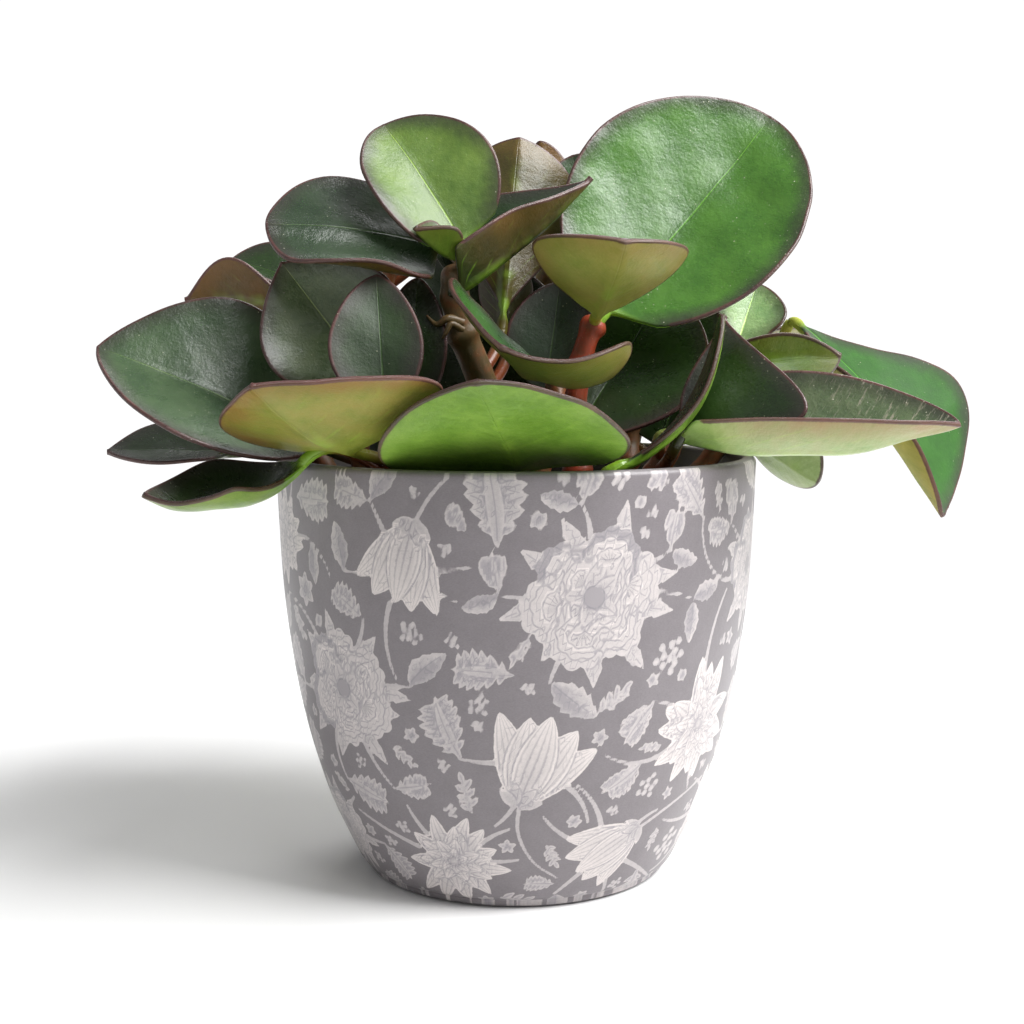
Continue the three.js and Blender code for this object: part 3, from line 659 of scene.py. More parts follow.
def leaf_surface(row, trunk, leaf, seed):
    """One leaf as rings carried along its stalk and its blade.

    The stalk is a cubic curve from the stem's centreline to the blade's base, with a round section. The blade's midrib
    is the chord plus 4 s (1 - s) times its arch and its sideways bow. The half width at s is half the width times
    sin(pi s^a)^e, with a = ln 0.5 / ln peak and e from bexp at the base to texp at the tip. Across the blade each half
    starts at its fold angle and turns evenly by its cup angle over half the width, the margin is a half round, and the
    underside stands lower by the midrib's ridge. Section and stalk blend over the first 4 mm of the blade.
    """
    _, base, tip, face, width, shape, upper_name, under_name, blush = row
    base, tip, face = (np.array(v, float) for v in (base, tip, face))
    get, rng = shape.get, np.random.default_rng(seed)
    chord = tip - base
    reach_mm = float(np.linalg.norm(chord))
    along = chord / reach_mm
    up = unit(face - along * (face @ along))
    bow = get("arch", 0) * up + get("side", 0) * np.cross(along, up)

    def middle(s):
        s = np.asarray(s, float)[..., None]
        return base + chord * s + 4 * s * (1 - s) * bow

    def ahead(s):
        s = np.asarray(s, float)[..., None]
        return unit(chord + 4 * (1 - 2 * s) * bow)

    # Stalk: from the stem to the blade's base.
    stalk_radius, edge, rib_height = leaf.stalk / MM, leaf.edge / MM, leaf.rib / MM
    first = ahead(0.0)
    if "root" in shape:
        foot = trunk[round(shape["root"] * (len(trunk) - 1))]
    else:
        foot = trunk[np.argmin(np.linalg.norm(trunk - (base - STALK_AIM * first), axis=1))]
    reach = float(np.linalg.norm(foot - base))
    bend = base - STALK_BEND * reach * first
    p0, p1, p2, p3 = foot, (foot + bend) / 2, bend, base
    k = np.linspace(0, 1, STALK_ROWS + 1)[:-1, None]
    stalk_at = (1 - k) ** 3 * p0 + 3 * k * (1 - k) ** 2 * p1 + 3 * k**2 * (1 - k) * p2 + k**3 * p3
    stalk_ahead = unit((1 - k) ** 2 * (p1 - p0) + 2 * k * (1 - k) * (p2 - p1) + k**2 * (p3 - p2))

    # Rings of stalk and blade together.
    large = width * reach_mm > LARGE_LEAF
    s = (1 - np.cos(np.pi * np.linspace(0, 1, BLADE_ROWS[large] + 1)[:-1])) / 2
    centre = np.vstack([stalk_at, middle(s)])
    forward = np.vstack([stalk_ahead, ahead(s)])
    normal = unit(up - forward * (forward @ up)[:, None])
    right = np.cross(forward, normal)
    along_s = np.concatenate([np.zeros(STALK_ROWS), s])[:, None]
    along_mm = np.concatenate([(k[:, 0] - 1) * reach, s * reach_mm])[:, None]
    blade = smoothstep(along_mm / BLEND)
    power = math.log(0.5) / math.log(get("peak", 0.52))
    blunt_base, blunt_tip = get("bexp", 0.85), get("texp", 0.55)
    swell = np.clip(np.sin(np.pi * along_s**power), 0, 1) ** (blunt_base + (blunt_tip - blunt_base) * along_s)

    # Across: u runs over the upper face from the left margin to the right one, and back along the underside.
    turn = np.linspace(0, 1, MARGIN_STEPS + 1) * np.pi / 2
    inner, margin = np.linspace(-1, 1, BLADE_COLUMNS[large]), np.ones(MARGIN_STEPS)
    u = np.concatenate([-margin, inner, margin])
    phi = np.concatenate([turn[:0:-1], 0 * inner, turn[1:]])
    left_right = np.sign(u)

    def each_half(word, plain):
        return np.where(u > 0, get(word + "r", get(word, plain)), get(word + "l", get(word, plain)))

    fold, cup = np.radians(each_half("fold", 15)), np.radians(each_half("cup", 20)) + 1e-4
    half = np.maximum(width / 2 * swell * each_half("w", 1), LEAST_HALF)
    round_off = np.minimum(edge / 2, half / 2)
    a = (half - round_off) * np.abs(u) + round_off * np.sin(phi)
    q = a / half
    curl = cup / (width / 2)
    x = (np.sin(fold + curl * a) - np.sin(fold)) / curl
    z = (np.cos(fold) - np.cos(fold + curl * a)) / curl
    from_crease = np.sqrt(a**2 + CREASE**2)
    z -= np.sin(fold) * (a - from_crease + CREASE) * np.exp(-a / 8)
    lean = fold * a / from_crease + curl * a

    # Relief: slow swells of the whole blade, veins pressed into the upper face, the midrib's groove and ridge.
    signed = a * left_right
    swells = sum(
        np.sin(signed * rng.uniform(-0.3, 0.3) + along_mm * rng.uniform(0.1, 0.32) + rng.uniform(0, 6.3))
        for _ in range(5)
    )
    lift = 0.13 * swells * np.clip(half / 12, 0, 1)
    veins = np.cos(2 * np.pi * SIDE_VEINS * (along_s - VEIN_SLANT * q**VEIN_CURVE))
    veins = veins * (np.clip(a / 3, 0, 1) * np.clip((half - a) / 4, 0, 1))
    groove = 0.3 * np.exp(-((a / 0.7) ** 2)) * (1 - along_s) ** 0.6
    ridge = rib_height * (0.45 * (1 - q) ** 2 + 0.75 * np.exp(-((a / 1.5) ** 2))) * (1 - 0.8 * along_s)
    over = lift + (edge / 2 + 0.25 * (1 - q) ** 2 - 0.02 * veins - groove) * np.cos(phi)
    below = lift - (edge / 2 + ridge + 0.03 * veins) * np.cos(phi)
    stalk_x = stalk_radius * np.sin(np.pi / 2 * u * np.where(phi > 0, 1, 0.9))
    stalk_z = np.sqrt(np.maximum(stalk_radius**2 - stalk_x**2, 0))

    def sheet(offset, round_z):
        """One face: the section raised by an offset along its own normal, blended with the stalk's section."""
        flat_x = left_right * x - offset * left_right * np.sin(lean)
        flat_z = z + offset * np.cos(lean)
        at_x, at_z = blade * flat_x + (1 - blade) * stalk_x, blade * flat_z + (1 - blade) * round_z
        return centre[:, None] + right[:, None] * at_x[..., None] + normal[:, None] * at_z[..., None]

    def both(values):
        """Values of the upper face for the whole ring."""
        return np.concatenate([values, values[:, -2:0:-1]], 1)

    rings = np.concatenate([sheet(over, 0.85 * stalk_z), sheet(below, -stalk_z)[:, -2:0:-1]], 1)
    rows, columns = rings.shape[:2]

    # Carried values: place (mm across, mm along, face), share (across, along, mm to the margin), tone (blush, seed,
    # stalk).
    slope = np.gradient(half, axis=0) / np.maximum(np.gradient(along_mm[:, 0]), 1e-3)[:, None]
    to_rim = np.minimum((half - a) / np.sqrt(1 + slope**2), (1 - along_s) * reach_mm)
    to_rim = np.where(along_mm <= 0, FAR, to_rim + 5 * (1 - smoothstep(along_mm / 7)))
    face_of = np.concatenate([np.where(phi > 1.5, 0, 1), -np.ones(len(u) - 2)])
    tone, every = rng.uniform(0, 1), np.ones((rows, columns))
    ends = {
        "place": [[0, -reach, 1], [0, reach_mm, 0]],
        "share": [[0, 0, FAR], [0, 1, 0]],
        "tone": [[blush, tone, 1], [blush, tone, 0]],
    }
    fields = {
        "place": (both(signed), along_mm * every, face_of * every),
        "share": (both(q * left_right), along_s * every, both(to_rim)),
        "tone": (blush * every, tone * every, (1 - blade) * every),
    }
    values = {name: np.vstack([np.stack(fields[name], -1).reshape(-1, 3), ends[name]]) for name in fields}
    values["upper_colour"] = [*screen(*UPPER_COLOURS[upper_name]), get("dust", 0.5)]
    values["under_colour"] = [*screen(*UNDER_COLOURS[under_name]), get("matt", 0)]
    return np.vstack([rings.reshape(-1, 3), foot, middle(1.0)]), closed_faces(rows, columns), values


def make_leaf_veins(name):
    """Veins from blade coordinates: the midrib where the distance across is small, a band on either side of it, and
    side veins where s - 0.42 |q|^1.3 passes a multiple of a sixth."""
    outputs = [("Midrib", "Float"), ("Beside", "Float"), ("Side", "Float")]
    tree, (place, shares), leave = group(name, [("Place", "Vector"), ("Share", "Vector")], outputs)
    x, _, _ = place.parts()
    q, s, _ = shares.parts()
    across, q = x.size(), q.size()
    width = 0.6 - s * 0.45
    leave("Midrib", across.soft(width, width * 0.3) * s.ramp(1.0, 0.9))
    leave("Beside", (across - width * 1.4).size().soft(width * 1.6, 0.0) * s.ramp(1.0, 0.8))
    phase = (s - q.power(VEIN_CURVE) * VEIN_SLANT) * float(SIDE_VEINS)
    line = (phase.rest(1.0) - 0.5).size()
    leave("Side", line.soft(0.40, 0.49) * (across.ramp(0.6, 3.0) * q.ramp(0.97, 0.6)))
    return tree


# The leaf's skin. Scales are in features per mm, bands are widths in mm along the rim.
LEAVES_APART, FACES_APART, STREAKS_APART = 300.0, 20.0, 90.0  # how far the noise of leaves and faces lies apart, in mm
CLOUD_SCALE, PATCH_SCALE, SWELL_SCALE, SPECK_SCALE, GRAIN_SCALE = 0.09, 0.12, 0.3, 0.9, 1.3
STREAK_SCALE, SCAR_SCALE, STREAK_SLANT, STREAK_STRETCH = 0.55, 0.9, 0.7, (1.1, 0.22)
DARK_BAND, BLUSH_BAND, SPECK_BAND = 7.0, 12.0, 5.0
SPECK_SHARE, GREEN_BASE, SCAR_START = 0.3, 0.3, 0.85
UPPER_DARKS, UPPER_LIGHTS = (0.45, 0.6, 0.5), (1.5, 1.34, 1.3)
UNDER_DARKS, UNDER_LIGHTS = (0.6, 0.7, 0.45), (1.4, 1.28, 1.6)
BESIDE_TINT, MIDRIB_TINT, BASE_TINT, STALK_TINT = (0.55, 0.6, 0.5), (2.6, 2.4, 1.8), (1.15, 1.5, 0.8), (1.2, 1.15, 0.7)
BAND_COLOUR, RIM_DARKS, SCAR_COLOUR = screen(50, 46, 42), screen(62, 38, 36), screen(178, 168, 150)
LEAF_ROUGH, UNDER_ROUGH, DRY_ROUGH = 0.28, 0.08, 0.3  # of the upper face, and what the underside and dry spots add


def leaf_finish(leaf):
    """Waxy leaf. Its own colours are carried by the piece, with the share of specks and extra roughness as alphas.

    The upper face is mottled, darker towards the rim, with a bright midrib between two dark bands. The underside has a
    warm blush, light streaks and a green base. The stalk, the rim, specks of dried water and, on dusty leaves, scars
    come over both.
    """
    material, tree, shader = new_finish("waxy_leaf")
    place, shares, tone = (carried(tree, name) for name in ("place", "share", "tone"))
    x, y, side = place.parts()
    _, s, rim = shares.parts()
    blush, seed, stalk = tone.parts()
    upper_face = side.ramp(-0.2, 0.2)
    spot = put(tree, "CombineXYZ", X=x, Y=y, Z=seed * LEAVES_APART + side * FACES_APART)
    stretch_x, stretch_y = STREAK_STRETCH
    slanted = (y - x.size() * STREAK_SLANT) * stretch_x
    streak_at = put(tree, "CombineXYZ", X=slanted, Y=x * stretch_y, Z=seed * STREAKS_APART)
    veins = use(tree, "leaf_veins", make_leaf_veins, Place=place, Share=shares)
    mottle, specks = mottled(tree, spot, CLOUD_SCALE), specked(tree, spot, SPECK_SCALE, SPECK_SHARE)
    patches = noise(tree, spot, PATCH_SCALE).ramp(0.45, 0.62)
    streaks = grained(tree, streak_at, STREAK_SCALE, 3.0, 0.65)
    grain = grained(tree, spot, GRAIN_SCALE, 3.0, 0.7)
    near_base = s.ramp(GREEN_BASE, 0.0)

    # Upper face.
    over, dusty = (carried(tree, "upper_colour", out) for out in ("Color", "Alpha"))
    clouds = (mottle + streaks * 0.25 + grain * 0.6).ramp(-1.0, 1.0)
    over = mixed(tree, clouds, tinted(tree, over, UPPER_DARKS), tinted(tree, over, UPPER_LIGHTS))
    over = mixed(tree, (rim + mottle * 1.5).soft(DARK_BAND, 0.0) * 0.75, over, BAND_COLOUR)
    over = mixed(tree, veins["Beside"] * 0.5, over, tinted(tree, over, BESIDE_TINT))
    over = mixed(tree, veins["Midrib"] * 0.8, over, tinted(tree, over, MIDRIB_TINT))

    # Underside.
    plain, matt = (carried(tree, "under_colour", out) for out in ("Color", "Alpha"))
    clouds = (mottle * 1.2 + streaks * 0.8 + grain * 0.6).ramp(-0.9, 0.9)
    under = mixed(tree, clouds, tinted(tree, plain, UNDER_DARKS), tinted(tree, plain, UNDER_LIGHTS))
    warm = ((rim.soft(BLUSH_BAND, 0.0) * 0.55 + mottle.ramp(-0.5, 0.8) * 0.55) * blush).least(0.75)
    under = mixed(tree, warm * (1.0 - near_base), under, tuple(leaf.blush_colour))
    streaky = (veins["Side"] * 0.5 + x.size().soft(3.0, 0.3)).least(1.0) * patches * 0.6
    under = mixed(tree, streaky * s.ramp(0.95, 0.2), under, tuple(leaf.vein_colour))
    under = mixed(tree, near_base * 0.6, under, tinted(tree, under, BASE_TINT))

    # Both faces, stalk and rim.
    base = mixed(tree, upper_face, under, over)
    green_stalk = tinted(tree, plain, STALK_TINT)
    base = mixed(tree, stalk, base, mixed(tree, y.soft(-14.0, -1.0), tuple(leaf.stalk_foot_colour), green_stalk))
    rim_width = leaf.rim / MM
    edge = (rim + grain * 0.5).soft(rim_width * 1.3, rim_width * 0.6)
    rim_tone = (mottle + blush * 0.8 - 0.4).ramp(-0.5, 0.6)
    base = mixed(tree, edge * 0.92, base, mixed(tree, rim_tone, RIM_DARKS, tuple(leaf.rim_colour)))

    # Specks and scars.
    dust = specks * (patches + rim.soft(SPECK_BAND, 0.5) * 0.7).least(1.0) * upper_face * (1.0 - stalk)
    base = mixed(tree, dust * dusty, base, tuple(leaf.dust_colour))
    scarred = dusty.ramp(SCAR_START, 1.0)
    scars = noise(tree, streak_at, SCAR_SCALE, 4.0, 0.7).ramp(0.56, 0.66) * scarred * s.ramp(0.3, 0.8)
    scars = scars * upper_face * (1.0 - edge)
    base = mixed(tree, scars * 0.6, base, SCAR_COLOUR)

    rough = streaks * 0.05 + mottle * 0.05 + LEAF_ROUGH + matt + (dust + scars) * DRY_ROUGH
    rough = rough + (1.0 - upper_face) * UNDER_ROUGH
    swells = noise(tree, spot, SWELL_SCALE)
    relief = grain * 0.8 + streaks * 0.2 + swells * 1.4 - veins["Midrib"] * 0.7 + dust * 0.2
    surfaced(tree, shader, base, rough, relief, 0.4, 0.0004)
    fixed(shader, Specular_IOR_Level=0.5, Coat_Weight=0.05, Coat_Roughness=0.2)
    fixed(shader, Subsurface_Weight=0.08, Subsurface_Radius=(0.002, 0.004, 0.001), Subsurface_Scale=0.4)
    return material


# ---------------------------------------------------------------- stems

STEM_ROWS, STEM_COLUMNS = 120, 22
TRUNK_STEPS = 60  # steps of the coarser path from which the leaf stalks leave
PLAIN_JOINTS = (0.25, 0.5, 0.75, 0.95)  # swellings where leaves once stood, as shares of the stem's length
JOINT_LENGTH = 2.2  # mm


def stem_surface(row, joints, swell, seed):
    """One stem: a round section carried along its curve. The radius runs evenly from foot to top, plus a bell of a few
    mm at each joint where a leaf stalk leaves, times slow noise round it, and closes in a dome at the top."""
    points, foot, top, red = row
    rng = np.random.default_rng(seed)
    path = smooth_path(points, STEM_ROWS)
    forward = unit(np.gradient(path, axis=0))
    u = unit(np.cross([1.0, 0, 0], forward))
    w = np.cross(forward, u)
    run = np.concatenate([[0], np.cumsum(np.linalg.norm(np.diff(path, axis=0), axis=1))])
    radius = foot + (top - foot) * np.linspace(0, 1, len(path))
    for j in joints:
        radius = radius + swell * np.exp(-(((run - j * run[-1]) / JOINT_LENGTH) ** 2))
    dome = np.sqrt(np.clip(1 - np.clip((run - run[-1] + top) / top, 0, 1) ** 2, 0, 1))
    angle = np.linspace(0, 2 * np.pi, STEM_COLUMNS, endpoint=False)
    rough = sum(
        np.sin(angle * n + run[:, None] * rng.uniform(0.05, 0.3) + rng.uniform(0, 6.3)) / n for n in (2, 3, 5)
    )
    r = (radius * dome)[:, None] * (1 + 0.035 * rough)
    rings = path[:, None] + u[:, None] * (r * np.cos(angle))[..., None] + w[:, None] * (r * np.sin(angle))[..., None]
    rings, along = rings[:STEM_ROWS], run[:STEM_ROWS, None]
    every = np.ones((STEM_ROWS, STEM_COLUMNS))
    place = np.stack([angle * foot * every, along * every, red * every], -1).reshape(-1, 3)
    values = {"place": np.vstack([place, [[0, 0, red], [0, run[-1], red]]])}
    return np.vstack([rings.reshape(-1, 3), path[0], path[-1]]), closed_faces(STEM_ROWS, STEM_COLUMNS), values


def stem_finish(stem):
    """Fleshy bark: brown green to red, with dark clouds, pale specks and a soft gloss."""
    material, tree, shader = new_finish("fleshy_stem")
    _, _, red = carried(tree, "place").parts()
    at = place_mm(tree)
    mottle, specks = mottled(tree, at, 0.25), specked(tree, at, 1.1, 0.4)
    base = mixed(tree, (red + mottle * 0.35).ramp(0.1, 0.9), tuple(stem.green_colour), tuple(stem.red_colour))
    base = mixed(tree, mottle.ramp(-0.7, 0.7), tinted(tree, base, (0.6, 0.6, 0.6)), base)
    base = mixed(tree, specks * 0.5, base, screen(168, 140, 100))
    surfaced(tree, shader, base, mottle * 0.08 + 0.45, mottle * 0.5 + specks, 0.5, 0.0003)
    return material


# ---------------------------------------------------------------- planter, nursery pot and soil

WALL_ROWS, WALL_COLUMNS = 140, 560
LIP_ROUND, TOE_ROUND = 1.7, 2.5  # mm
PLAIN_PRINT = {"print_lines": (-FAR, FAR, FAR), "print_tone": (0, 0, 0)}
NURSERY_FOOT, NURSERY_WALL, NURSERY_COLUMNS = 43, 1.2, 96  # radius and thickness in mm
SOIL_FOOT, SOIL_FLOOR, SOIL_ROWS, SOIL_COLUMNS = 42, 9, 84, 260  # radius and height in mm
LUMP_ROWS, LUMP_COLUMNS = 5, 8
VINE_STEPS, VINE_STEP = 15, 2.4  # number and length in mm


def turned_rows(profile, columns):
    """Surface of revolution: each (radius, height) of the profile carried round the Z axis."""
    profile = np.array(profile, float)
    angle = np.linspace(-np.pi, np.pi, columns, endpoint=False) - np.pi / 2
    r, z = profile[:, :1], np.tile(profile[:, 1:], (1, columns))
    return np.stack([r * np.cos(angle), r * np.sin(angle), z], -1)


def arc(r, z, radius, start, end, steps):
    """Points of an arc in the profile plane, angles in degrees."""
    a = np.radians(np.linspace(start, end, steps + 1))
    return np.stack([r + radius * np.cos(a), z + radius * np.sin(a)], -1)


def turned_piece(name, rows, ends, finish, slot, nodes, values=None):
    """A closed turned shell: rings, and the heights of its first and its last point on the axis."""
    points = np.vstack([rows.reshape(-1, 3), *([0, 0, z] for z in ends)])
    bundle = Bundle()
    bundle.add(points, closed_faces(*rows.shape[:2]), values)
    return bundle.piece(name, finish, slot, nodes)


def turned(x, y, degrees):
    """The position x, y in axes turned by an angle."""
    c, s = math.cos(math.radians(degrees)), math.sin(math.radians(degrees))
    return x * c + y * s, y * c - x * s


def blended(tone, share_of):
    """From the first to the second of two tones."""
    return tone[0] + (tone[1] - tone[0]) * share_of


class FloralPrint:
    """The planter's all-over print, worked out on the grid of its outer wall and carried as two attributes.

    Each motif is painted over the earlier ones from signed distances in mm, positive inside: the distance to the edge
    of all motifs, to the edge of the topmost petal and to the nearest vein, then a tone, a stripe count and a dot mask.
    """

    def __init__(self, along, radii, columns):
        self.along, self.radii, self.columns = along, radii, columns
        self.rng = np.random.default_rng(PRINT_SEED)
        n = len(along) * columns
        self.motif, self.edge, self.vein = (np.full(n, v) for v in PLAIN_PRINT["print_lines"])
        self.tone, self.stripe, self.dots = np.full(n, 0.8), np.zeros(n), np.zeros(n)
        self.petals = []

    def near(self, degrees, height, reach, turn=0.0):
        """Grid points within reach of a place on the wall, and their position x, y from it in mm, turned by an
        angle."""
        i = np.nonzero(np.abs(self.along - height) < reach)[0]
        step, middle = 2 * math.pi / self.columns, math.radians(degrees) + math.pi
        k = int(reach / step / self.radii[i].min()) + 2 if len(i) else 0
        j = np.arange(-k, k + 1) + round(middle / step)
        grid = (i[:, None] * self.columns + j % self.columns).ravel()
        x = ((j * step - middle) * self.radii[i][:, None]).ravel()
        return grid, *turned(x, np.repeat(self.along[i] - height, len(j)), turn)

    def moved(self, d, h, far, turn):
        """The place that lies far mm from another, in the direction of turn: degrees to the left of straight up."""
        a = math.radians(turn)
        return d - math.degrees(far * math.sin(a) / np.interp(h, self.along, self.radii)), h + far * math.cos(a)

    def paint(self, grid, inside, tone, vein, stripe, dots):
        """Lays one petal over what stands on the wall: its lines inside its edge, its tones 1.5 mm further."""
        old, top = self.edge[grid], self.motif[grid]
        on, hug = inside > 0, inside > np.maximum(top, -1.5)
        self.edge[grid] = np.where(on, inside, np.where(np.abs(inside) < np.abs(old), inside, old))
        self.vein[grid] = np.where(on, vein, self.vein[grid])
        for field, value in ((self.tone, tone), (self.stripe, stripe), (self.dots, dots)):
            field[grid] = np.where(on | hug, value, field[grid])
        self.motif[grid] = np.maximum(top, inside)

    def keep(self, grid, inside, tone, vein=FAR, stripe=0.0, dots=0.0):
        """Adds one petal to the motif being made, as far as 3 mm outside its edge."""
        close = inside > -3
        values = [np.broadcast_to(v, inside.shape)[close] for v in (inside, tone, vein, stripe)]
        self.petals.append((grid[close], *values, dots))

    def stamp(self, kind, degrees, height, r, turn, gap=None):
        """Makes a motif and paints it. With a gap, it is left out where another motif stands nearer than that."""
        self.petals = []
        getattr(self, kind)(self.near(degrees, height, 1.45 * r, turn), r)
        if gap is None or all((np.minimum(p[1], self.motif[p[0]]) <= -gap).all() for p in self.petals):
            for petal in self.petals:
                self.paint(*petal)

    def stroke(self, points, wide, tone=0.75):
        """A curved stalk through points (degrees, height), tapering to its end."""
        path = smooth_path([[d, h, 0] for d, h in points], 10 * len(points))
        r = np.interp(path[:, 1], self.along, self.radii)
        for i in range(len(path) - 1):
            grid, x, y = self.near(path[i, 0], path[i, 1], wide + 3)
            dx, dy = math.radians(path[i + 1, 0] - path[i, 0]) * r[i], path[i + 1, 1] - path[i, 1]
            t = np.clip((x * dx + y * dy) / (dx * dx + dy * dy), 0, 1)
            inside = wide * (1 - 0.5 * i / len(path)) - np.hypot(x - t * dx, y - t * dy)
            on = inside > self.motif[grid]
            self.paint(grid[on], inside[on], tone, FAR, 0.0, 0.0)

    def disc(self, at, x, y, r, lobes=0, depth=0.0, tone=(0.3, 1.0), stripes=0, dots=0.0):
        """A round petal: r (1 + depth (|cos(lobes a / 2)| - 0.6)) minus the distance from its middle, its tone running
        to the edge."""
        grid, px, py = at
        far, a = np.hypot(px - x, py - y), np.arctan2(py - y, px - x)
        inside = r * (1 + depth * (np.abs(np.cos(lobes * a / 2)) - 0.6)) - far
        out = np.clip(far / r, 0, 1) ** 1.6
        self.keep(grid, inside, blended(tone, out), stripe=a * stripes / (2 * np.pi), dots=dots)

    def petal(
        self, at, x, y, turn, long, wide, bend=0.0, teeth=0, blunt=0.8, tone=(0.5, 1.0), stripes=0.0, veins=0, shade=0.0
    ):
        """A petal or leaf along a bent line: half width wide sin(pi t^0.85)^blunt, with saw teeth, a midrib and side
        veins, and a shade on one half."""
        grid, px, py = at
        px, py = turned(px - x, py - y, turn)
        t = py / long
        tc = np.clip(t, 0, 1)
        off = px - bend * long * tc**2
        half = wide * np.sin(np.pi * tc**0.85) ** blunt
        if teeth:
            half = half * (0.86 + 0.34 * (1 - (tc * teeth) % 1.0))
        beyond = np.maximum(-t, t - 1) * long
        inside = np.where((t > 0) & (t < 1), half - np.abs(off), -np.hypot(off, beyond)) * 0.9
        vein = FAR
        if veins:
            rib = np.where(tc < 0.93, off, FAR)
            phase = tc * veins - np.abs(off) / wide * 0.8
            side = (phase - np.round(phase)) * long / veins
            side = np.where((tc > 0.12) & (tc < 0.85) & (np.abs(off) < 0.8 * half), side * 1.5, FAR)
            vein = np.where(np.abs(rib) < np.abs(side), rib, side)
        out = np.clip(np.maximum(tc, np.abs(off) / np.maximum(half, 0.3)), 0, 1) ** 1.5
        self.keep(grid, inside, blended(tone, out) - shade * (off > 0), vein, off / np.maximum(half, 0.5) * stripes)

    def blossom(self, at, r):
        """Serrated outer leaves, two rings of scalloped petals with patterned eyes, some behind a dark hatched band,
        and seeds."""
        rng = self.rng
        for k in range(9):
            turn, long = 40 * k + rng.uniform(-8, 8), r * rng.uniform(1.08, 1.36)
            self.petal(at, 0, 0, turn, long, 0.17 * r, rng.uniform(-0.25, 0.25), 4, tone=(0.6, 1.0), veins=5)
        for ring, (count, out, size, lobes) in enumerate([(6, 0.57, 0.42, 9), (4, 0.3, 0.3, 7)]):
            for k in range(count):
                a = 2 * np.pi * k / count + 0.5 * ring + rng.uniform(-0.18, 0.18)
                x, y, q = out * r * math.cos(a), out * r * math.sin(a), size * r * rng.uniform(0.85, 1.12)
                tone, stripes = ((0.0, 0.05), 44) if ring == 0 and k in (1, 2) else ((0.9, 1.0), 0)
                self.disc(at, x, y, q, lobes, 0.16, tone, stripes)
                self.disc(at, x * 0.9, y * 0.9, q * 0.8, lobes, 0.14, (0.95, 1.0))
                self.disc(at, x * 0.84, y * 0.84, q * 0.52, lobes, 0.12, (0.35, 0.8), 17)
        for k in range(5):
            turn, bend = 72 * k + rng.uniform(-9, 9), rng.uniform(-0.2, 0.2)
            self.petal(at, 0, 0, turn, 0.42 * r, 0.13 * r, bend, tone=(0.7, 1.0), veins=1)
        self.disc(at, 0, 0, 0.15 * r, tone=(0.0, 0.3), dots=1.0)

    def dahlia(self, at, r):
        """Four rings of pointed, striped petals."""
        for ring, (count, long, wide) in enumerate([(11, 1.14, 0.21), (9, 0.86, 0.2), (8, 0.6, 0.16), (6, 0.36, 0.12)]):
            for k in range(count):
                turn = 360 * (k + 0.5 * ring) / count + self.rng.uniform(-7, 7)
                reach, bend = long * r * self.rng.uniform(0.9, 1.08), self.rng.uniform(-0.2, 0.2)
                self.petal(at, 0, 0, turn, reach, wide * r, bend, blunt=0.7, tone=(0.25, 1.0), stripes=1.6)
        self.disc(at, 0, 0, 0.13 * r, tone=(0.9, 0.2))

    def tulip(self, at, r):
        """A cup of striped petals with flared tips on a small calyx."""
        cup = (26, 0.12, 0.34), (-26, -0.12, 0.34), (13, 0.04, 0.42), (-13, -0.04, 0.42), (0, 0.05, 0.4)
        for turn, bend, wide in cup:
            long = 1.9 * r * self.rng.uniform(0.9, 1.06)
            self.petal(at, 0, -0.95 * r, turn, long, wide * r, -bend, blunt=0.7, tone=(0.45, 1.0), stripes=2.6)
        for turn in (-60, -25, 25, 60):
            self.petal(at, 0, -1.05 * r, turn, 0.55 * r, 0.12 * r, tone=(0.6, 1.0))

    def leaf(self, at, r):
        """A toothed leaf, darker on one side of its midrib."""
        self.petal(at, 0, -r, 0, 2 * r, 0.48 * r, self.rng.uniform(-0.25, 0.25), 5, 0.85, veins=5, shade=0.3)

    def frond(self, at, r):
        """A deeply lobed leaf: overlapping side leaflets under a veined middle."""
        bend = self.rng.uniform(-0.2, 0.2)
        for k in range(5, -1, -1):
            t = 0.1 + 0.14 * k
            x, y, size = bend * 2 * r * t**2, (2 * t - 1) * r, (0.34 + 0.5 * math.sin(math.pi * t)) * r
            for way in (-1, 1):
                self.petal(at, x, y, -way * 50, size, 0.22 * size, way * 0.25, veins=1)
        self.petal(at, 0, -1.1 * r, 0, 2.2 * r, 0.22 * r, bend, tone=(0.6, 1.0), veins=1)

    def sprig(self, at, r):
        """A thin stalk with seven small leaves."""
        self.petal(at, 0, -r, 0, 1.5 * r, 0.05 * r + 0.25, blunt=0.2, tone=(0.7, 0.8))
        for k in range(7):
            side, up = (-1) ** k * (38 + 14 * self.rng.random()), (-0.85 + 0.22 * k) * r
            self.petal(at, 0, up, side if k < 6 else 0, 0.62 * r, 0.15 * r, tone=(0.6, 1.0), veins=1)

    def star(self, at, r):
        """A small flower of five or six pointed petals."""
        count = int(self.rng.integers(5, 7))
        for k in range(count):
            self.petal(at, 0, 0, 360 * k / count, r, 0.3 * r, blunt=0.6)
        self.disc(at, 0, 0, 0.22 * r, tone=(0.1, 0.4))

    def berries(self, at, r):
        """Round berries in a spiral cluster, 137.5 degrees apart."""
        count = int(5 + r)
        for k in range(count):
            a, out = 2.4 * k, 0.8 * r * math.sqrt((k + 0.3) / count)
            self.disc(at, out * math.cos(a), out * math.sin(a), 0.14 * r + 0.3, tone=(1.0, 0.6))

    def picked(self, kinds):
        return kinds[int(self.rng.integers(len(kinds)))]

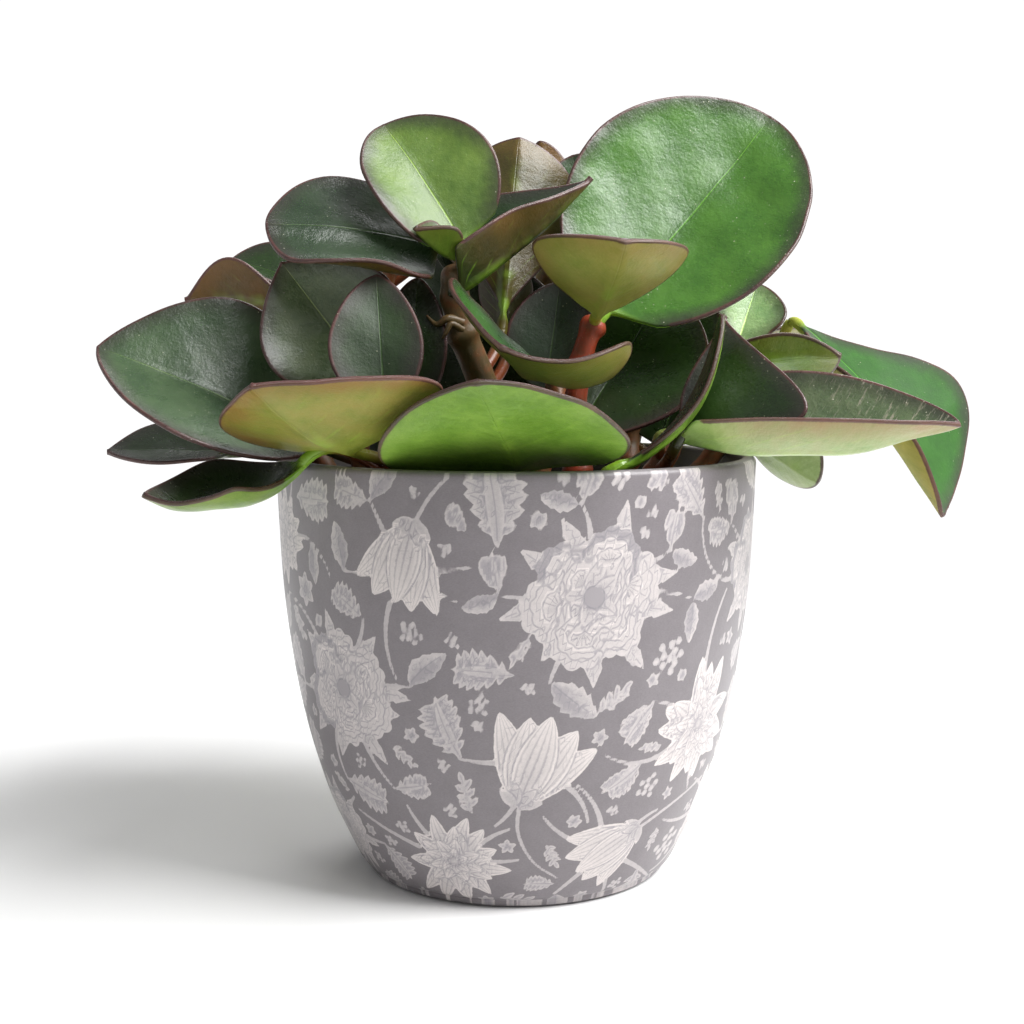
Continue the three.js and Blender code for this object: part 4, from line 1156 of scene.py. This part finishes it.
    def vine(self, d, h, r, turn):
        """A bending stalk out of a flower, with leaves on both sides and a star, berries or a leaf at its end, as far
        as nothing stands in its way."""
        bend, points = self.rng.uniform(-9, 9), []
        d, h = self.moved(d, h, r * 0.8, turn)
        for k in range(VINE_STEPS):
            points.append((d, h))
            d, h = self.moved(d, h, VINE_STEP, turn)
            turn += bend
            row = int(np.searchsorted(self.along, h))
            if not 2 < row < len(self.along) - 2:
                break
            column = round((d + 180) / 360 * self.columns) % self.columns
            if k * VINE_STEP > 0.3 * r and self.motif[row * self.columns + column] > -1.2:
                break
            if k > 1 and k % 3 == 0:
                size = self.rng.uniform(5.0, 8.6)
                for way in (1, -1):
                    lean = turn + way * self.rng.uniform(44, 64)
                    at = self.moved(*self.moved(d, h, 0.7, turn + 90 * way), size, lean)
                    self.stamp(self.picked(("frond", "frond", "leaf")), *at, size, lean, 0.3)
        if len(points) > 3:
            size = 3.2
            at = self.moved(*points[-1], size, turn)
            self.stamp(self.picked(("star", "berries", "leaf")), *at, size, turn, 0.3)
            self.stroke(points, 0.8)

    def draw(self):
        """Paints the flowers on both halves of the wall, tulips with a stalk, lets vines grow out of them, and then
        tries smaller and smaller motifs where none stands yet."""
        rng, flowers = self.rng, []
        for half_turn in (0, 180):
            for d, h, r, turn, kind in PRINT_FLOWERS:
                d, h, r = d + half_turn + rng.uniform(-3, 3), h + rng.uniform(-2, 2), r * rng.uniform(0.95, 1.04)
                flowers.append((kind, d, h, r, turn + rng.uniform(-14, 14)))
        for kind, d, h, r, turn in flowers:
            if kind == "tulip":
                way, lean = math.radians(turn), math.degrees(r / np.interp(h, self.along, self.radii))
                bends = (0.9, 0), (1.7, 0.25), (2.5, 0.9), (3.0, 1.7)
                stalk = [(d + lean * (k * math.sin(way) + aside), h - k * r * math.cos(way)) for k, aside in bends]
                self.stroke(stalk, 0.6)
            self.stamp(kind, d, h, r, turn)
        for _, d, h, r, turn in flowers:
            for k in range(6):
                self.vine(d, h, r, turn + 60 * k + rng.uniform(-20, 20))
        for r, kinds in PRINT_FILLERS:
            for _ in range(FILLER_TRIES):
                row, column = int(rng.integers(len(self.along))), int(rng.integers(self.columns))
                turn, kind, size = rng.uniform(0, 360), self.picked(kinds), r * rng.uniform(0.85, 1.1)
                axis, way = size * np.array([-0.8, -0.4, 0, 0.4, 0.8]), math.radians(turn)
                up = np.searchsorted(self.along, self.along[row] + axis * math.cos(way)).clip(0, len(self.along) - 1)
                over = column - (axis * math.sin(way) / self.radii[row] * self.columns / (2 * np.pi)).astype(int)
                if (self.motif[up * self.columns + over % self.columns] < -0.9).all():
                    self.stamp(kind, 360 * column / self.columns - 180, self.along[row], size, turn, 0.55)


def planter_profile(planter):
    """Outline of the planter in mm from the foot's middle up the outside, over the rim and down the inside. The wall
    follows the CAD's radii at fractions of the height, joined by a smooth curve."""
    names = ("height", "rim_radius", "foot_radius", "wall", "floor")
    height, rim, foot, wall, floor = (getattr(planter, name) / MM for name in names)
    knots = [[foot + 0.1, TOE_ROUND, 0], *([r, f * height, 0] for f, r in WALL_RADII), [rim, height - LIP_ROUND, 0]]
    outside = smooth_path(knots, WALL_ROWS)[:, :2]
    inside = outside[::-18] - [wall, 0]
    inside = inside[(inside[:, 1] < height - 2 * LIP_ROUND) & (inside[:, 1] > floor + 3)]
    return [
        np.array([[0, 1.2], [foot * 0.5, 1.2], [foot - 7, 1.2], [foot - 6, 0.6], [foot - 5.6, 0]]),
        arc(foot - TOE_ROUND, TOE_ROUND, TOE_ROUND, -90, -8, 4),
        outside,
        arc(rim - LIP_ROUND, height - LIP_ROUND, LIP_ROUND, 18, 90, 4),
        arc(rim - wall + LIP_ROUND, height - LIP_ROUND, LIP_ROUND, 90, 162, 3),
        inside,
        np.array([[inside[-1][0] - 1.5, floor + 1], [inside[-1][0] - 4, floor], [0, floor]]),
    ]


# The print. Scales are in features per mm, line widths in mm from no ink to full ink.
GLAZE_CLOUDS, GLAZE_GRAIN, WOBBLE_SCALE, WEAVE_SCALE, WEAVE_STRETCH = 0.12, 2.2, 0.9, 1.7, (1.0, 1.0, 3.0)
BEAD_SCALE, BEAD_EDGE, SWIRL_SCALE, SWIRLS = 0.95, (0.42, 0.30), 0.55, 9.0
LINE_EDGE, VEIN_EDGE = (0.34, 0.12), (0.28, 0.10)
GROUND_DARKS = screen(101, 95, 98)


def glaze_finish(planter):
    """Printed ceramic: motifs in cream to pale grey with soft lines, stripes and dots on a woven grey ground, under a
    satin glaze."""
    material, tree, shader = new_finish("printed_glaze")
    at = place_mm(tree)
    mottle, wobble = mottled(tree, at, GLAZE_CLOUDS), grained(tree, at, WOBBLE_SCALE)
    grain = grained(tree, at, GLAZE_GRAIN, 2.0, 0.7)
    motif, edge, vein = carried(tree, "print_lines").parts()
    tone, stripe, dots = carried(tree, "print_tone").parts()

    weave = grained(tree, put(tree, "Mapping", Vector=at, Scale=WEAVE_STRETCH), WEAVE_SCALE, 3.0, 0.8)
    clouds = (mottle * 0.25 + weave * 1.5).ramp(-0.6, 0.6)
    ground = mixed(tree, clouds, GROUND_DARKS, tuple(planter.ground_colour))
    bead = put(tree, "TexVoronoi", "Distance", Vector=at, Scale=BEAD_SCALE).ramp(*BEAD_EDGE)
    hatch = ((stripe + wobble * 0.3).rest(1.0) - 0.5).size().ramp(0.28, 0.44)
    swirl = ((noise(tree, at, SWIRL_SCALE, 1.0) * SWIRLS).rest(1.0) - 0.5).size().ramp(0.42, 0.5)
    tone = tone - dots.ramp(0.3, 0.7) * bead * 0.8 + wobble * 0.35 + weave * 0.35 - hatch * 0.4 - swirl * 0.2
    petal = mixed(tree, tone.ramp(0.0, 1.0), tuple(planter.shade_colour), tuple(planter.cream_colour))
    line = edge.size().ramp(*LINE_EDGE) * motif.ramp(0.25, 0.5) * (0.5 + wobble)
    fine = vein.size().ramp(*VEIN_EDGE) * motif.ramp(0.1, 0.4) * 0.45
    petal = mixed(tree, line.most(fine), petal, tuple(planter.line_colour))
    base = mixed(tree, (motif + wobble * 0.3).ramp(-0.1, 0.12), ground, petal)
    surfaced(tree, shader, base, mottle * 0.04 + 0.36, mottle * 0.6 + grain * 0.3, 0.15, 0.0003)
    fixed(shader, Specular_IOR_Level=0.4)
    return material


def nursery_finish(planter):
    """Black moulded plastic with a fine grain."""
    material, tree, shader = new_finish("nursery_plastic")
    mottle = mottled(tree, place_mm(tree), 0.5)
    base = mixed(tree, mottle.ramp(-1.0, 1.0), tuple(planter.nursery_colour), screen(46, 42, 38))
    surfaced(tree, shader, base, mottle * 0.1 + 0.5, mottle, 0.2, 0.0002)
    return material


def soil_finish(soil):
    """Dark potting mix: brown to black crumbs, with a few light fibres."""
    material, tree, shader = new_finish("potting_soil")
    at = place_mm(tree)
    mottle, specks = mottled(tree, at, 0.35), specked(tree, at, 0.7, 0.2)
    base = mixed(tree, mottle.ramp(-0.8, 1.0), screen(22, 16, 12), tuple(soil.soil_colour))
    base = mixed(tree, specks * 0.7, base, screen(128, 104, 78))
    surfaced(tree, shader, base, mottle * 0.05 + 0.9, mottle + specks * 0.5, 0.8, 0.0008)
    return material


def grit_finish(soil):
    """Light volcanic bits with a rough skin."""
    material, tree, shader = new_finish("mineral_grit")
    mottle = mottled(tree, place_mm(tree), 0.8)
    base = mixed(tree, mottle.ramp(-0.8, 0.8), screen(120, 104, 84), tuple(soil.grit_colour))
    surfaced(tree, shader, base, mottle * 0.05 + 0.85, mottle, 0.6, 0.0004)
    return material


def soil_height(x, y):
    """Height of the soil in mm over its mean: the CAD's two waves, plus clods as sharp-edged waves of 2 to 5 mm."""
    low = 1.1 * (np.sin(x / 7 + 1) * np.cos(y / 8) + 0.5 * np.sin(x / 3.5) * np.sin(y / 4 + 2))
    clods = np.abs(np.sin(x * 0.9 + 2 * np.sin(y * 0.37))) * np.abs(np.sin(y * 0.8 + 2 * np.sin(x * 0.31 + 1)))
    fine = np.sin(x * 2.3 + np.sin(y * 1.7) * 2) * np.sin(y * 2.1 + 1 + np.sin(x * 1.9) * 2)
    return low + 1.2 * (clods - 0.4) + 0.35 * fine


def scatter_lumps(name, count, low, high, limit, top, finish, seed):
    """Loose lumps on the soil: spheres of 5 by 8 points and two poles, whose radius is changed by two random waves,
    flattened and sunk a third into the soil."""
    rng, bundle = np.random.default_rng(seed), Bundle()
    polar = np.linspace(0, np.pi, LUMP_ROWS + 2)[1:-1]
    theta, phi = np.meshgrid(polar, np.linspace(0, 2 * np.pi, LUMP_COLUMNS, endpoint=False), indexing="ij")
    faces = [face[::-1] for face in closed_faces(LUMP_ROWS, LUMP_COLUMNS)]
    for _ in range(count):
        size = low + (high - low) * rng.random() ** 2.2
        far, way = limit * math.sqrt(rng.random()), rng.uniform(0, 2 * math.pi)
        cx, cy = far * math.cos(way), far * math.sin(way)
        wave = 0.28 * np.sin(2 * theta + rng.uniform(0, 6)) * np.cos(2 * phi + rng.uniform(0, 6))
        r = size * (1 + wave + 0.22 * np.cos(3 * phi + rng.uniform(0, 6)))
        x, y = r * np.sin(theta) * np.cos(phi), r * np.sin(theta) * np.sin(phi) * rng.uniform(0.5, 1)
        z = r * np.cos(theta) * rng.uniform(0.4, 0.8)
        x, y = turned(x, y, -math.degrees(rng.uniform(0, 2 * math.pi)))
        ball = np.stack([x, y, z], -1).reshape(-1, 3)
        poles = [[0, 0, z[0, 0] * 1.1], [0, 0, z[-1, 0] * 1.1]]
        bundle.add(np.vstack([ball, poles]) + [cx, cy, top + soil_height(cx, cy) + size * 0.2], faces)
    return bundle.piece(name, finish, "soil", [])


# ---------------------------------------------------------------- operators


class PEPEROMIA_OT_planter(bpy.types.Operator):
    """Turns the ceramic planter and its printed glaze"""

    bl_idname = "peperomia.planter"
    bl_label = "Planter"

    def execute(self, context):
        planter = context.scene.peperomia_planter
        profile = planter_profile(planter)
        outside = profile[2]
        below, wall = len(profile[0]) + len(profile[1]) - 1, len(outside)
        along = np.concatenate([[0], np.cumsum(np.linalg.norm(np.diff(outside, axis=0), axis=1))])
        floral = FloralPrint(along, outside[:, 0], WALL_COLUMNS)
        floral.draw()
        profile = np.vstack(profile)
        rows = turned_rows(profile[1:-1], WALL_COLUMNS)

        # The print covers the outer wall and is drawn on over the toe and the lip.
        fields = {
            "print_lines": (floral.motif, floral.edge, floral.vein),
            "print_tone": (floral.tone, floral.stripe, floral.dots),
        }
        values = {}
        for name, plain in PLAIN_PRINT.items():
            drawn = np.stack(fields[name], -1).reshape(wall, WALL_COLUMNS, 3)
            spread = np.full(rows.shape, plain, float)
            spread[below : below + wall] = drawn
            spread[below - 3 : below], spread[below + wall : below + wall + 3] = drawn[0], drawn[-1]
            values[name] = np.vstack([spread.reshape(-1, 3), [plain] * 2])
        ends = profile[[0, -1], 1]
        turned_piece("planter_wall", rows, ends, glaze_finish(planter), "planter", ["planter"], values)
        return {"FINISHED"}


class PEPEROMIA_OT_nursery_pot(bpy.types.Operator):
    """Turns the thin plastic nursery pot"""

    bl_idname = "peperomia.nursery_pot"
    bl_label = "Nursery Pot"

    def execute(self, context):
        planter = context.scene.peperomia_planter
        top, rim, floor = NURSERY_BOX[1].z / MM, NURSERY_BOX[1].x / MM, NURSERY_BOX[0].z / MM
        slope = (rim - NURSERY_FOOT - 1) / (top - floor)

        def wall(low, high, inward=0.0):
            heights = np.linspace(low, high, 12)
            return np.stack([NURSERY_FOOT + slope * (heights - floor) - inward, heights], -1)

        profile = [
            [[NURSERY_FOOT - 1, floor], [NURSERY_FOOT, floor + 1]],
            wall(floor + 4, top - 10),
            [[rim - 0.5, top - 9.4], [rim, top - 0.8], [rim - 0.3, top - 0.1]],
            [[rim - 1.2, top], [rim - 1.7, top - 0.5], [rim - 1.9, top - 9]],
            wall(top - 10.5, floor + 4, NURSERY_WALL),
            [[NURSERY_FOOT - NURSERY_WALL, floor + NURSERY_WALL]],
        ]
        rows, ends = turned_rows(np.vstack(profile), NURSERY_COLUMNS), (floor, floor + NURSERY_WALL)
        turned_piece("nursery_pot_shell", rows, ends, nursery_finish(planter), "nursery_pot", ["nursery_pot"])
        return {"FINISHED"}


class PEPEROMIA_OT_soil(bpy.types.Operator):
    """Fills the nursery pot with soil, and scatters crumbs and grit on it"""

    bl_idname = "peperomia.soil"
    bl_label = "Soil"

    def execute(self, context):
        soil = context.scene.peperomia_soil
        finish, top, radius = soil_finish(soil), soil.top / MM, soil.radius / MM
        body = [[SOIL_FOOT, SOIL_FLOOR], [radius - 0.5, top - 4]]
        rows = turned_rows(body + [[r, top] for r in radius * np.linspace(1, 0.012, SOIL_ROWS)], SOIL_COLUMNS)
        x, y, z = np.moveaxis(rows[len(body) :], -1, 0)
        z += soil_height(x, y)
        turned_piece("soil_bed", rows, (SOIL_FLOOR, top + soil_height(0, 0)), finish, "soil", ["soil"])
        scatter_lumps("soil_crumbs", soil.crumbs, 0.5, 2.4, radius - 3, top, finish, 11)
        scatter_lumps("mineral_bits", soil.bits, 0.5, 1.7, radius - 3, top, grit_finish(soil), 12)
        return {"FINISHED"}


class PEPEROMIA_OT_leafy_stems(bpy.types.Operator):
    """Grows each stem with its leaves"""

    bl_idname = "peperomia.leafy_stems"
    bl_label = "Leafy Stems"

    def execute(self, context):
        leaf, stem = context.scene.peperomia_leaf, context.scene.peperomia_stem
        leaf_skin, bark = leaf_finish(leaf), stem_finish(stem)
        for number, (letter, row) in enumerate(STEMS.items()):
            trunk, node = smooth_path(row[0], TRUNK_STEPS), "leafy_stem_" + letter
            leaves, trunks, joints = Bundle(), Bundle(), list(PLAIN_JOINTS)
            for place, leaf_row in enumerate(r for r in LEAVES if r[0][0] == letter):
                points, faces, values = leaf_surface(leaf_row, trunk, leaf, 100 * number + place)
                leaves.add(points, faces, values)
                foot = points[-2]
                joints.append(int(np.argmin(np.linalg.norm(trunk - foot, axis=1))) / TRUNK_STEPS)
            leaves.piece("leaves_" + letter, leaf_skin, "foliage", [node])
            trunks.add(*stem_surface(row, joints, stem.node_swell / MM, 500 + number))
            for place, scrap in enumerate(SCRAPS if letter == "a" else ()):
                trunks.add(*stem_surface(scrap, [], 0, 600 + place))
            trunks.piece("stem_" + letter, bark, "foliage", [node])
        return {"FINISHED"}


class PEPEROMIA_OT_stage(bpy.types.Operator):
    """Sets the floor, the lights and the camera"""

    bl_idname = "peperomia.stage"
    bl_label = "Stage"

    def execute(self, context):
        stage, scene = context.scene.peperomia_stage, context.scene
        half, under = FLOOR_SIZE / 2, -FLOOR_DROP
        mesh = bpy.data.meshes.new("studio_floor")
        corners = [(-half, -half, under), (half, -half, under), (half, half, under), (-half, half, under)]
        mesh.from_pydata(corners, [], [(0, 1, 2, 3)])
        floor = bpy.data.objects.new("studio_floor", mesh)
        scene.collection.objects.link(floor)
        material, tree, shader = new_finish("pale_floor")
        at = put(tree, "TexCoord", "Object")
        far = put(tree, "VectorMath", 1, {"operation": "LENGTH"}, Vector=at).soft(0.3, 0.6)
        black, white = (0.0, 0.0, 0.0), (1.0, 1.0, 1.0)
        plug(tree, mixed(tree, far, tuple(stage.floor_colour), black), shader.inputs["Base Color"])
        plug(tree, mixed(tree, far, black, white), shader.inputs["Emission Color"])
        fixed(shader, Emission_Strength=BACKGROUND, Roughness=0.9, Specular_IOR_Level=0.0)
        mesh.materials.append(material)

        scene.view_settings.view_transform = "Standard"
        scene.world = world = bpy.data.worlds.new("studio")
        world.use_nodes = True
        tree = world.node_tree
        back = tree.nodes["Background"]
        back.inputs["Color"].default_value = (*white, 1.0)
        seen, glossy = put(tree, "LightPath", "Is Camera Ray"), put(tree, "LightPath", "Is Glossy Ray")
        strength = seen * (BACKGROUND - stage.ambient) + glossy * stage.mirrored + stage.ambient
        plug(tree, strength, back.inputs["Strength"])

        for name, at, size in LIGHTS:
            light = bpy.data.lights.new(name + "_box", "AREA")
            light.shape, light.size, light.size_y = "RECTANGLE", *size
            light.energy = getattr(stage, name + "_light")
            lamp = bpy.data.objects.new(name + "_box", light)
            lamp.location = at
            x, y, z = np.array([0, 0, LIGHTS_AIM]) - np.array(at)
            lamp.rotation_euler = (math.atan2(math.hypot(x, y), -z), 0, math.atan2(-x, y))
            scene.collection.objects.link(lamp)

        camera = bpy.data.cameras.new("camera")
        camera.lens, camera.sensor_width = stage.lens, 36.0
        camera.clip_start, camera.clip_end = 0.01, 50
        view = bpy.data.objects.new("camera", camera)
        view.location = (stage.camera_aside, -stage.camera_distance, stage.camera_height)
        view.rotation_euler = (math.pi / 2 - stage.camera_pitch, 0, 0)
        scene.collection.objects.link(view)
        scene.camera = view
        return {"FINISHED"}


class PEPEROMIA_PT_panel(bpy.types.Panel):
    """Lists the parts of the potted peperomia"""

    bl_label = "Potted Peperomia"
    bl_idname = "PEPEROMIA_PT_panel"
    bl_space_type = "VIEW_3D"
    bl_region_type = "UI"
    bl_category = "Peperomia"

    def draw(self, context):
        for operator, *names in STEPS:
            box = self.layout.box()
            box.operator(operator.bl_idname)
            for settings in (getattr(context.scene, name) for name in names):
                for name in settings.__annotations__:
                    box.prop(settings, name)


SETTINGS = {
    "peperomia_leaf": PeperomiaLeafSettings,
    "peperomia_stem": PeperomiaStemSettings,
    "peperomia_planter": PeperomiaPlanterSettings,
    "peperomia_soil": PeperomiaSoilSettings,
    "peperomia_stage": PeperomiaStageSettings,
}
STEPS = [
    (PEPEROMIA_OT_stage, "peperomia_stage"),
    (PEPEROMIA_OT_planter, "peperomia_planter"),
    (PEPEROMIA_OT_nursery_pot,),
    (PEPEROMIA_OT_soil, "peperomia_soil"),
    (PEPEROMIA_OT_leafy_stems, "peperomia_leaf", "peperomia_stem"),
]
CLASSES = [*SETTINGS.values(), *(step[0] for step in STEPS), PEPEROMIA_PT_panel]


def register():
    for kind in CLASSES:
        bpy.utils.register_class(kind)
    for name, kind in SETTINGS.items():
        setattr(bpy.types.Scene, name, bpy.props.PointerProperty(type=kind))


def unregister():
    for name in SETTINGS:
        delattr(bpy.types.Scene, name)
    for kind in reversed(CLASSES):
        bpy.utils.unregister_class(kind)


def main():
    register()
    bpy.ops.peperomia.stage()
    bpy.ops.peperomia.planter()
    bpy.ops.peperomia.nursery_pot()
    bpy.ops.peperomia.soil()
    bpy.ops.peperomia.leafy_stems()


if __name__ == "__main__":
    main()
